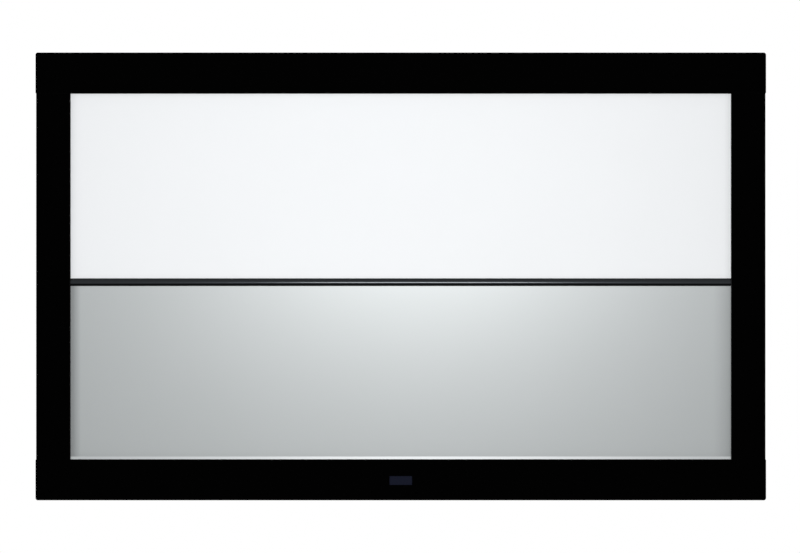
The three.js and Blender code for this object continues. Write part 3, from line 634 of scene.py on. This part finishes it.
def turned(profile, steps):
    """Points and faces of a profile of (radius, height) points turned about Z. It starts and ends on Z."""
    rings = profile[1:-1]
    points = [(0, 0, profile[0][1])]
    for radius, height in rings:
        points += [(x, y, height) for x, y in arc(0, 0, radius, 0, 360, steps)[:-1]]
    top = len(points)
    points.append((0, 0, profile[-1][1]))
    faces = ring_faces(len(rings), steps, 1)
    for i in range(steps):
        after = (i + 1) % steps
        faces += [(0, 1 + after, 1 + i), (top - steps + i, top - steps + after, top)]
    return points, faces


def wire_tube(path, radius, sides):
    """Points and faces of a round wire that follows a path, closed at both ends."""
    count = len(path)
    tangents = []
    for i in range(count):
        tangents.append((path[min(i + 1, count - 1)] - path[max(i - 1, 0)]).normalized())
    normal = tangents[0].orthogonal().normalized()
    points = []
    for point, tangent in zip(path, tangents):
        normal = (normal - tangent * normal.dot(tangent)).normalized()
        other = tangent.cross(normal)
        points += [point + x * normal + y * other for x, y in arc(0, 0, radius, 0, 360, sides)[:-1]]
    ends = (tuple(reversed(range(sides))), tuple(range((count - 1) * sides, count * sides)))
    return points, [*ring_faces(count, sides), *ends]


SIDES = {
    "top": (Vector((0, 0, 1)), OPEN_Z),
    "bottom": (Vector((0, 0, -1)), OPEN_Z),
    "left": (Vector((-1, 0, 0)), OPEN_X),
    "right": (Vector((1, 0, 0)), OPEN_X),
}


def side_basis(side):
    """Turns X away from the opening, Y to the back and Z along that side of the frame."""
    outward = SIDES[side][0]
    back = Vector((0, 1, 0))
    return Matrix((outward, back, outward.cross(back))).transposed()


def hem_line():
    """The middle of the sheet where it turns round a rod, as (distance out from the opening, depth) points:
    out to the rod, round it, and back to the weld. Gives the numbers of the points where the window for a
    spring starts and ends."""
    weld_y = SHEET_MIDDLE + sizes().sheet_thickness
    corner = Vector((WELD_END - ROD_OFFSET, weld_y - ROD_Y))
    swing = math.degrees(math.acos(HEM_TURN / corner.length))
    leave = math.degrees(math.atan2(corner.y, corner.x)) % 360 - swing
    out = [(reach, SHEET_MIDDLE) for reach in (HEM_START, HEM_MIDWAY, WINDOW_START, ROD_START)]
    turn = arc(ROD_OFFSET, ROD_Y, HEM_TURN, -90, leave, 14)
    end_reach, end_depth = turn[-1]
    back = []
    for reach in (ROD_START, WINDOW_START):
        share = (end_reach - reach) / (end_reach - WELD_END)
        back.append((reach, end_depth + (weld_y - end_depth) * share))
    flap = [(reach, weld_y) for reach in (WELD_END, WELD_MIDWAY, WELD_START)]
    line = [*out, *turn, *back, *flap]
    return line, line.index(out[2]), line.index(back[1])


def window_steps(places, low, high):
    """Places along a hem where its mesh has a line: its ends, and close together at each window."""
    steps = [place + offset * MM for place in places for offset in WINDOW_LINES]
    return sorted([low, high, *steps])


def window_at(place, places):
    """How far a place is from the middle of the window that it is in, or None outside the windows."""
    for middle in places:
        if abs(place - middle) <= WINDOW_HALF + 1e-6:
            return abs(place - middle)
    return None


def corner_cut(distance):
    """How much later a window starts, that far from its middle, because its corners are round."""
    past = distance - (WINDOW_HALF - WINDOW_CORNER)
    if past <= 0:
        return 0
    return WINDOW_CORNER - math.sqrt(max(WINDOW_CORNER**2 - past**2, 0))


def spring_places(side, low=-9, high=9):
    """Where the springs stand along a side of the frame, between two heights or widths."""
    places = []
    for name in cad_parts:
        if name.startswith(f"{side}_spring_"):
            lowest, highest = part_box(name)
            middle = (lowest + highest) / 2
            along = middle.x if side in ("top", "bottom") else middle.z
            if low < along < high:
                places.append(along)
    return sorted(places)


def sheet_edges(end):
    """The heights of a sheet's lower and upper edges, without its hem. end is 'top' for the upper sheet and
    'bottom' for the lower."""
    hand = 1 if end == "top" else -1
    return sorted((DIVIDER_Z + hand * (BEAD_OFFSET - BEAD_RADIUS), hand * (OPEN_Z + HEM_START)))


def sheet_surface(end):
    """Points and faces of the middle of a sheet: its flat panel, and a hem along its end and both flanks."""
    low, high = sheet_edges(end)
    end_places = spring_places(end)
    side_places = spring_places("left", low, high)
    half = OPEN_X + HEM_START
    columns = window_steps(end_places, HEM_INSET - half, half - HEM_INSET)
    rows = window_steps(side_places, low + HEM_INSET, high - HEM_INSET)
    line, first, last = hem_line()
    points, index, faces = [], {}, []

    def at(point):
        key = tuple(round(value * 1e6) for value in point)
        if key not in index:
            index[key] = len(points)
            points.append(point)
        return index[key]

    def quad(*corners):
        faces.append(tuple(at(corner) for corner in corners))

    def hem_point(side, places, along, number):
        """A point of a hem, that far along it and at that number on the hem's line."""
        reach, depth = line[number]
        distance = window_at(along, places)
        if distance is not None and number in (first, last):
            reach += corner_cut(distance)
            if number == last:
                share = (reach - line[number][0]) / (line[number - 1][0] - line[number][0])
                depth += (line[number - 1][1] - line[number][1]) * share
        outward, opening = SIDES[side]
        place = outward * (opening + reach)
        if side in ("top", "bottom"):
            return (along, depth, place.z)
        return (place.x, depth, along)

    wide = [-half, *columns, half]
    tall = [low, *rows, high]
    for x0, x1 in zip(wide, wide[1:]):
        for z0, z1 in zip(tall, tall[1:]):
            corners = ((x0, z0), (x1, z0), (x1, z1), (x0, z1))
            quad(*((x, SHEET_MIDDLE, z) for x, z in corners))

    hems = ((end, end_places, columns), ("left", side_places, rows), ("right", side_places, rows))
    for side, places, steps in hems:
        for a, b in zip(steps, steps[1:]):
            in_window = window_at((a + b) / 2, places) is not None
            for number in range(len(line) - 1):
                if in_window and first <= number < last:
                    continue
                around = ((a, number), (b, number), (b, number + 1), (a, number + 1))
                corners = [hem_point(side, places, *corner) for corner in around]
                if side in ("bottom", "right"):
                    corners.reverse()
                quad(*corners)
    return points, faces


def vinyl_sheet(name, end, node, face, back):
    """A stretched sheet with its hems, as a shell of the vinyl's thickness whose two faces differ."""
    points, faces = sheet_surface(end)
    middle = bpy.data.meshes.new(name + "_middle")
    middle.from_pydata(points, [], faces)
    middle.validate()
    middle.materials.append(face)
    middle.materials.append(back)
    form = bpy.data.objects.new(name + "_middle", middle)
    bpy.context.scene.collection.objects.link(form)
    shell = form.modifiers.new("thickness", "SOLIDIFY")
    shell.thickness = sizes().sheet_thickness
    shell.offset = 0
    shell.material_offset = 1
    shell.material_offset_rim = 1
    graph = bpy.context.evaluated_depsgraph_get()
    mesh = bpy.data.meshes.new_from_object(form.evaluated_get(graph))
    mesh.name = name
    bpy.data.objects.remove(form)
    bpy.data.meshes.remove(middle)
    return piece_of(name, mesh, face, (node,), 40)


def bead_outline(hand):
    """The section of the bead along a sheet's inner edge, as (z, y) points, with its stem."""
    middle = DIVIDER_Z + hand * BEAD_OFFSET
    turn = math.degrees(math.asin(BEAD_STEM / BEAD_RADIUS))
    ring = arc(middle, BEAD_MIDDLE, BEAD_RADIUS, -90 + turn, 270 - turn, 20)
    return [(middle - BEAD_STEM, STEM_FRONT), (middle + BEAD_STEM, STEM_FRONT), *ring]


class PROJECTOR_SCREEN_OT_sheets(bpy.types.Operator):
    """Make the two stretched vinyl sheets, with hems round the rods and a bead along the divider"""

    bl_idname = "projector_screen.sheets"
    bl_label = "Sheets"

    def execute(self, context):
        white = white_vinyl()
        grey = grey_vinyl()
        white_back = vinyl_back("uncoated_white_vinyl_back", context.scene.screen_colours.white_back)
        grey_back = vinyl_back("uncoated_grey_vinyl_back", context.scene.screen_colours.grey_back)
        for name, end, face, back, slot in (
            ("upper", "top", white, white_back, "white_sheet"),
            ("lower", "bottom", grey, grey_back, "grey_sheet"),
        ):
            piece = vinyl_sheet(f"{name}_vinyl_sheet", end, f"{name}_screen_sheet", face, back)
            points, faces = drawn(bead_outline(1 if end == "top" else -1), OPEN_X - HEM_INSET)
            bead = new_piece(f"{name}_sheet_bead", points, faces, back)
        return {"FINISHED"}


class PROJECTOR_SCREEN_OT_rails(bpy.types.Operator):
    """Finish the four rails with flock and anodising"""

    bl_idname = "projector_screen.rails"
    bl_label = "Rails"

    def execute(self, context):
        names = ["top_rail", "bottom_rail", "left_rail", "right_rail"]
        finish_nodes(names, flocked_extrusion())
        return {"FINISHED"}


class PROJECTOR_SCREEN_OT_joint_felts(bpy.types.Operator):
    """Make the thin felts that close the joints between the side rails and the top and bottom ones"""

    bl_idname = "projector_screen.joint_felts"
    bl_label = "Joint felts"

    def execute(self, context):
        material = joint_felt()
        nose = arc(0, FELT_FRONT + FELT_HALF, FELT_HALF, -180, 0, 6)
        outline = [*nose, (FELT_HALF, FELT_BACK), (-FELT_HALF, FELT_BACK)]
        for end in ("top", "bottom"):
            for side in ("left", "right"):
                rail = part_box(f"{side}_rail")
                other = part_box(f"{end}_rail")
                joint = (rail[1].z + other[0].z) / 2 if end == "top" else (rail[0].z + other[1].z) / 2
                reach = (rail[1].x - rail[0].x) / 2 - FELT_INSET
                placed = Matrix.Translation(((rail[0].x + rail[1].x) / 2, 0, joint))
                points, faces = drawn(outline, reach)
                name = f"{end}_{side}_joint_felt"
                new_piece(name, points, faces, material, (), 30, placed)
        return {"FINISHED"}


class PROJECTOR_SCREEN_OT_end_caps(bpy.types.Operator):
    """Finish the moulded caps at the ends of the top and bottom rails"""

    bl_idname = "projector_screen.end_caps"
    bl_label = "End caps"

    def execute(self, context):
        names = [f"{end}_{side}_end_cap" for end in ("top", "bottom") for side in ("left", "right")]
        finish_nodes(names, moulded_plastic(), context.scene.screen_sizes.edge)
        return {"FINISHED"}


class PROJECTOR_SCREEN_OT_rods(bpy.types.Operator):
    """Make the round fibreglass rods in the sheets' hems"""

    bl_idname = "projector_screen.rods"
    bl_label = "Hem rods"

    def execute(self, context):
        material = drawn_fibreglass()
        for name in [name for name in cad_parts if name.endswith("_hem_rod")]:
            low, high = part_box(name)
            middle, reach = (low + high) / 2, (high - low) / 2
            radius = reach.y
            half = max(reach.x, reach.z)
            chamfer = 0.4 * MM
            profile = [(0, -half), (radius - chamfer, -half), (radius, chamfer - half)]
            profile += [(radius, half - chamfer), (radius - chamfer, half), (0, half)]
            points, faces = turned(profile, steps=24)
            placed = Matrix.Translation(middle)
            if reach.x > reach.z:
                placed = placed @ Matrix.Rotation(math.pi / 2, 4, "Y")
            piece_name = name.replace("hem_rod", "fibreglass_rod")
            new_piece(piece_name, points, faces, material, (name,), 40, placed)
        return {"FINISHED"}


def spring_path(turns):
    """The wire of a spring that lies along X about its own middle: a ring at each end, and the coil between.
    Half a turn more than a whole number puts the two rings in one plane."""
    ring = arc(-RING_OFFSET, 0, RING_RADIUS, RING_START, RING_END, 20)
    first = [Vector((x, y, 0)) for x, y in ring]
    ring_end = first[-1]
    coil_start = Vector((-COIL_HALF, 0, -RING_RADIUS))

    # The wire swings from the ring to the coil on a cubic curve, without a kink at either end.
    angle = math.radians(RING_END)
    leave = Vector((-math.sin(angle), math.cos(angle), 0)) * LEAVE_PULL
    enter = Vector((0.6, 1, 0)) * ENTER_PULL
    for step in range(1, SWING_STEPS):
        t = step / SWING_STEPS
        first.append(
            ring_end * (2 * t**3 - 3 * t**2 + 1)
            + leave * (t**3 - 2 * t**2 + t)
            + coil_start * (3 * t**2 - 2 * t**3)
            + enter * (t**3 - t**2)
        )
    coil = []
    whole = turns + 0.5
    steps = int(whole * TURN_STEPS)
    for step in range(steps + 1):
        angle = 2 * math.pi * whole * step / steps
        along = -COIL_HALF + 2 * COIL_HALF * step / steps
        coil.append(Vector((along, RING_RADIUS * math.sin(angle), -RING_RADIUS * math.cos(angle))))
    last = [Vector((-point.x, point.y, -point.z)) for point in reversed(first)]
    return [*first, *coil, *last]


class PROJECTOR_SCREEN_OT_springs(bpy.types.Operator):
    """Make the wound springs between the rods and the rails"""

    bl_idname = "projector_screen.springs"
    bl_label = "Springs"

    def execute(self, context):
        settings = context.scene.screen_sizes
        material = nickelled_wire()
        points, faces = wire_tube(spring_path(settings.turns), settings.wire / 2, sides=8)
        for name in [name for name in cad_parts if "_spring_" in name]:
            low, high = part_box(name)
            basis = side_basis(name.split("_")[0]).to_4x4()
            placed = Matrix.Translation((low + high) / 2) @ basis
            piece_name = name.replace("spring", "wound_spring")
            new_piece(piece_name, points, faces, material, (name,), 60, placed)
        return {"FINISHED"}


def strip_outline():
    """The domed strip's section as (z, y) points. Its crest lies below its middle, with a round side under
    it and a long slope above. Behind are two small shoulders and the tongue that snaps into the divider."""
    low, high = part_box("divider_cover")
    half = (high.z - low.z) / 2
    drop = sizes().crest_drop
    crest = DIVIDER_Z - drop
    shoulder = STRIP_BACK - STRIP_EDGE
    rise = shoulder - low.y
    under = arc(0, 0, 1, 90, 0, 24)[:-1]
    lower = [(crest - (half - drop) * down, shoulder - rise * out) for out, down in under]
    upper = []
    for step in range(UPPER_STEPS + 1):
        share = (step / UPPER_STEPS) ** UPPER_SPREAD
        upper.append((crest + (half + drop) * share, shoulder - rise * (1 - share**UPPER_CURVE)))
    tip = high.y
    narrow = TONGUE_HALF - TONGUE_CHAMFER
    tongue = [(TONGUE_HALF, STRIP_BACK), (TONGUE_HALF, tip - TONGUE_CHAMFER), (narrow, tip)]
    tongue += [(-z, y) for z, y in reversed(tongue)]
    behind = [(half, STRIP_BACK), *tongue, (-half, STRIP_BACK)]
    return [*lower, *upper, *((DIVIDER_Z + z, y) for z, y in behind)]


class PROJECTOR_SCREEN_OT_divider(bpy.types.Operator):
    """Finish the divider's rail, and make the smooth domed strip in front of it"""

    bl_idname = "projector_screen.divider"
    bl_label = "Divider"

    def execute(self, context):
        finish_nodes(["divider_rail"], anodised_divider(), DIVIDER_EDGE)
        points, faces = drawn(strip_outline(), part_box("divider_cover")[1].x)
        new_piece("domed_strip", points, faces, satin_strip(), ("divider_cover",), 30)
        return {"FINISHED"}


def screw_face():
    """Points and faces of a pan head with a cross recess, about its own middle, with Z out of the plate. It
    fits over the plain head on the plate."""
    points = []
    for radius, height in SCREW_RINGS:
        points += [Vector((x, y, height)) * MM for x, y in arc(0, 0, radius, 0, 360, SCREW_STEPS)[:-1]]
    faces = ring_faces(len(SCREW_RINGS), SCREW_STEPS)
    arm, half = CROSS_ARM, CROSS_HALF
    cross = [(arm, -half), (arm, half), (half, half), (half, arm), (-half, arm), (-half, half)]
    cross += [(-x, -y) for x, y in cross]
    mouth = [Vector((x, y, SCREW_RINGS[-1][1])) * MM for x, y in cross]
    floor = [Vector((x * CROSS_TAPER, y * CROSS_TAPER, CROSS_FLOOR)) * MM for x, y in cross]
    count = len(cross)
    start = len(points)
    rim = points[-SCREW_STEPS:]
    points += mouth + floor
    for triangle in tessellate_polygon([rim, mouth]):
        a, b, c = (start - SCREW_STEPS + i for i in triangle)
        flat = (points[b] - points[a]).cross(points[c] - points[a]).z
        faces.append((a, b, c) if flat > 0 else (a, c, b))
    faces += ring_faces(2, count, start)
    faces.append(tuple(range(start + count, start + 2 * count)))
    return points, faces


def screw_places():
    """Where the screws stand, as (x, z) points for each plate."""
    places = {}
    for end, up in (("top", 1), ("bottom", -1)):
        for side, hand in (("left", -1), ("right", 1)):
            across = [(hand * (OUTER_X - reach), up * (OUTER_Z - SCREW_LINE)) for reach in SCREWS_ACROSS]
            down = [(hand * (OUTER_X - SCREW_LINE), up * (OUTER_Z - reach)) for reach in SCREWS_DOWN]
            places[f"{end}_{side}_corner_plate"] = across + down
    for side, hand in (("left", -1), ("right", 1)):
        pair = [(hand * (OUTER_X - SCREW_LINE), DIVIDER_Z + up * SCREW_PAIR) for up in (-1, 1)]
        line = [(hand * (DIVIDER_REACH - reach), DIVIDER_Z) for reach in SCREWS_DIVIDER]
        places[f"{side}_divider_plate"] = pair + line
    return places


class PROJECTOR_SCREEN_OT_plates(bpy.types.Operator):
    """Finish the plates that join the rails, and make the faces of their screws"""

    bl_idname = "projector_screen.plates"
    bl_label = "Plates and screws"

    def execute(self, context):
        material = plated_zinc()
        head, head_faces = screw_face()
        places = screw_places()
        finish_nodes(places, material, context.scene.screen_sizes.edge)
        for name, screws in places.items():
            points, faces = [], []
            for number, (x, z) in enumerate(screws):
                # Each cross stops at an angle of its own.
                turn = Matrix.Rotation(math.radians(37 * number + 11), 3, "Z")
                start = len(points)
                for point in head:
                    turned_point = turn @ point
                    points.append((x + turned_point.x, PLATE_BACK + turned_point.z, z - turned_point.y))
                faces += [tuple(start + i for i in face) for face in head_faces]
            new_piece(name.replace("plate", "screws"), points, faces, material)
        return {"FINISHED"}


class PROJECTOR_SCREEN_OT_hooks(bpy.types.Operator):
    """Finish the two hook brackets that hold the screen on the wall"""

    bl_idname = "projector_screen.hooks"
    bl_label = "Wall brackets"

    def execute(self, context):
        names = ["left_wall_bracket", "right_wall_bracket"]
        zinc = bpy.data.materials["barrel_plated_zinc_on_steel"]
        finish_nodes(names, zinc, context.scene.screen_sizes.edge)
        return {"FINISHED"}


class PROJECTOR_SCREEN_OT_bumpers(bpy.types.Operator):
    """Make the two moulded bumpers, with round rims and a ring in each face"""

    bl_idname = "projector_screen.bumpers"
    bl_label = "Bumpers"

    def execute(self, context):
        material = moulded_rubber()
        for side in ("left", "right"):
            name = f"{side}_wall_bumper"
            low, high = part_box(name)
            middle = (low + high) / 2
            radius = (high.x - low.x) / 2
            height = high.y - low.y
            rim = arc(radius - BUMPER_RIM, height - BUMPER_RIM, BUMPER_RIM, 0, 90, 6)
            ring = [(radius - across * MM, height - down * MM) for across, down in BUMPER_RING]
            profile = [(0, 0), (radius, 0), *rim, *ring, (0, height)]
            points, faces = turned(profile, steps=48)
            placed = Matrix.Translation((middle.x, low.y, middle.z)) @ Matrix.Rotation(-math.pi / 2, 4, "X")
            new_piece(f"{side}_rubber_bumper", points, faces, material, (name,), 40, placed)
        return {"FINISHED"}


def rounded_loop(half_x, half_z, corner, depth, steps=6):
    """Points of a rectangle with round corners, at a depth."""
    loop = []
    for x, z, start in ((1, -1, -90), (1, 1, 0), (-1, 1, 90), (-1, -1, 180)):
        centre_x, centre_z = x * (half_x - corner), z * (half_z - corner)
        loop += [(px, depth, pz) for px, pz in arc(centre_x, centre_z, corner, start, start + 90, steps)]
    return loop


class PROJECTOR_SCREEN_OT_badge(bpy.types.Operator):
    """Make the bare badge on the bottom rail: a plate with a broken edge, a rim and a brushed field"""

    bl_idname = "projector_screen.badge"
    bl_label = "Badge"

    def execute(self, context):
        low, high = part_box("badge_plate")
        middle = (low + high) / 2
        half_x, half_z = (high.x - low.x) / 2, (high.z - low.z) / 2
        # Each loop's distance in from the edge and corner radius, in millimetres, and its depth.
        steps = (
            (0, 1.5, high.y),
            (0, 1.5, low.y + 0.5 * MM),
            (0.5, 1.2, low.y),
            (1.5, 0.9, low.y),
            (1.9, 0.7, low.y + 0.25 * MM),
        )
        loops = []
        for inset, corner, depth in steps:
            loops.append(rounded_loop(half_x - inset * MM, half_z - inset * MM, corner * MM, depth))
        count = len(loops[0])
        points = [point for loop in loops for point in loop]
        faces = [tuple(range(count)), *(face[::-1] for face in ring_faces(len(loops), count))]
        faces.append(tuple(reversed(range(len(points) - count, len(points)))))
        placed = Matrix.Translation((middle.x, 0, middle.z))
        new_piece("blank_badge", points, faces, brushed_badge(), ("badge_plate",), 25, placed)
        return {"FINISHED"}


def soft_lamp(name, place, target, size, power):
    """A soft rectangular lamp that shines at a point and isn't itself seen."""
    lamp = bpy.data.lights.new(name, "AREA")
    lamp.shape = "RECTANGLE"
    lamp.size, lamp.size_y = size
    lamp.energy = power
    holder = bpy.data.objects.new(name, lamp)
    bpy.context.scene.collection.objects.link(holder)
    holder.location = place
    holder.rotation_euler = (Vector(target) - Vector(place)).to_track_quat("-Z", "Y").to_euler()
    holder.visible_camera = False


def pale_floor(drop):
    """A round pale floor under the screen, which fades to the white of the background at its rim."""
    material, tree, place, _ = new_material("painted_studio_floor")
    out = add_node(tree, VECTOR_MATH, {0: place}, operation="LENGTH").outputs["Value"]
    fading = {"Value": out, "From Min": FLOOR_FADE[0], "From Max": FLOOR_FADE[1]}
    rim = add_node(tree, RANGE, fading, interpolation_type="SMOOTHSTEP")
    seen = add_node(tree, "ShaderNodeLightPath").outputs["Is Camera Ray"]
    share = add_node(tree, MATH, {0: rim, 1: seen}, operation="MULTIPLY")
    paint = add_node(tree, "ShaderNodeBsdfDiffuse", {"Color": linear("#E6E6E6")})
    white = add_node(tree, "ShaderNodeEmission", {"Color": (1, 1, 1, 1), "Strength": 1.0})
    both = add_node(tree, MIX_SHADER, {0: share, 1: paint, 2: white})
    add_node(tree, OUTPUT, {"Surface": both})
    mesh = bpy.data.meshes.new("floor")
    outline = [(x, y, 0) for x, y in arc(0, 0, FLOOR_RADIUS, 0, 360, 64)[:-1]]
    mesh.from_pydata(outline, [], [tuple(range(len(outline)))])
    mesh.materials.append(material)
    floor = bpy.data.objects.new("floor", mesh)
    bpy.context.scene.collection.objects.link(floor)
    floor.location.z = -OUTER_Z - drop


def white_surroundings(fill):
    """Even light from all round, at a lower level than the white that the camera and reflections see."""
    world = bpy.data.worlds.new("studio")
    bpy.context.scene.world = world
    world.use_nodes = True
    tree = world.node_tree
    tree.nodes.clear()
    ray = add_node(tree, "ShaderNodeLightPath").outputs
    seen = add_node(tree, MATH, {0: ray["Is Camera Ray"], 1: ray["Is Glossy Ray"]}, operation="MAXIMUM")
    seen = add_node(tree, MATH, {0: seen, 1: ray["Is Transmission Ray"]}, operation="MAXIMUM")
    light = add_node(tree, "ShaderNodeBackground", {"Color": (1, 1, 1, 1), "Strength": fill})
    white = add_node(tree, "ShaderNodeBackground", {"Color": (1, 1, 1, 1), "Strength": 1.0})
    both = add_node(tree, MIX_SHADER, {0: seen, 1: light, 2: white})
    add_node(tree, "ShaderNodeOutputWorld", {"Surface": both})


class PROJECTOR_SCREEN_OT_stage(bpy.types.Operator):
    """Set up the camera, the lamps, the floor and the white surroundings"""

    bl_idname = "projector_screen.stage"
    bl_label = "Stage"

    def execute(self, context):
        studio = context.scene.screen_studio
        data = bpy.data.cameras.new("front")
        data.sensor_width = SENSOR
        data.lens = SENSOR * studio.distance / studio.width
        camera = bpy.data.objects.new("front", data)
        context.scene.collection.objects.link(camera)
        camera.location = (CAMERA_X, RAIL_FRONT - studio.distance, CAMERA_Z)
        camera.rotation_euler = (math.pi / 2, 0, 0)
        context.scene.camera = camera
        context.scene.view_settings.view_transform = "Standard"
        soft_lamp("front", FRONT_LAMP, FRONT_TARGET, FRONT_SIZE, studio.key_power)
        x, y, z = REAR_LAMP
        for name, hand in (("rear_left", -1), ("rear_right", 1)):
            soft_lamp(name, (hand * x, y, z), (hand * REAR_TARGET, 0, 0), REAR_SIZE, studio.rear_power)
        pale_floor(studio.floor_drop)
        white_surroundings(studio.fill)
        return {"FINISHED"}


class PROJECTOR_SCREEN_PT_steps(bpy.types.Panel):
    """Lists the steps that dress the screen"""

    bl_label = "Projector Screen"
    bl_idname = "PROJECTOR_SCREEN_PT_steps"
    bl_space_type = "VIEW_3D"
    bl_region_type = "UI"
    bl_category = "Screen"

    def draw(self, context):
        scene = context.scene
        for operator in OPERATORS:
            self.layout.operator(operator.bl_idname)
        for settings in (scene.screen_sizes, scene.screen_colours, scene.screen_studio):
            box = self.layout.box()
            for name in settings.__annotations__:
                box.prop(settings, name)


OPERATORS = (
    PROJECTOR_SCREEN_OT_stage,
    PROJECTOR_SCREEN_OT_rails,
    PROJECTOR_SCREEN_OT_joint_felts,
    PROJECTOR_SCREEN_OT_end_caps,
    PROJECTOR_SCREEN_OT_rods,
    PROJECTOR_SCREEN_OT_sheets,
    PROJECTOR_SCREEN_OT_springs,
    PROJECTOR_SCREEN_OT_divider,
    PROJECTOR_SCREEN_OT_plates,
    PROJECTOR_SCREEN_OT_hooks,
    PROJECTOR_SCREEN_OT_bumpers,
    PROJECTOR_SCREEN_OT_badge,
)
CLASSES = (ScreenSizes, ScreenColours, StudioSizes, *OPERATORS, PROJECTOR_SCREEN_PT_steps)


def register():
    for made in CLASSES:
        bpy.utils.register_class(made)
    bpy.types.Scene.screen_sizes = PointerProperty(type=ScreenSizes)
    bpy.types.Scene.screen_colours = PointerProperty(type=ScreenColours)
    bpy.types.Scene.screen_studio = PointerProperty(type=StudioSizes)


def unregister():
    del bpy.types.Scene.screen_studio
    del bpy.types.Scene.screen_colours
    del bpy.types.Scene.screen_sizes
    for made in reversed(CLASSES):
        bpy.utils.unregister_class(made)


def main():
    register()
    bpy.ops.projector_screen.stage()
    bpy.ops.projector_screen.rails()
    bpy.ops.projector_screen.joint_felts()
    bpy.ops.projector_screen.end_caps()
    bpy.ops.projector_screen.rods()
    bpy.ops.projector_screen.sheets()
    bpy.ops.projector_screen.springs()
    bpy.ops.projector_screen.divider()
    bpy.ops.projector_screen.plates()
    bpy.ops.projector_screen.hooks()
    bpy.ops.projector_screen.bumpers()
    bpy.ops.projector_screen.badge()
    bpy.context.view_layer.update()


if __name__ == "__main__":
    main()
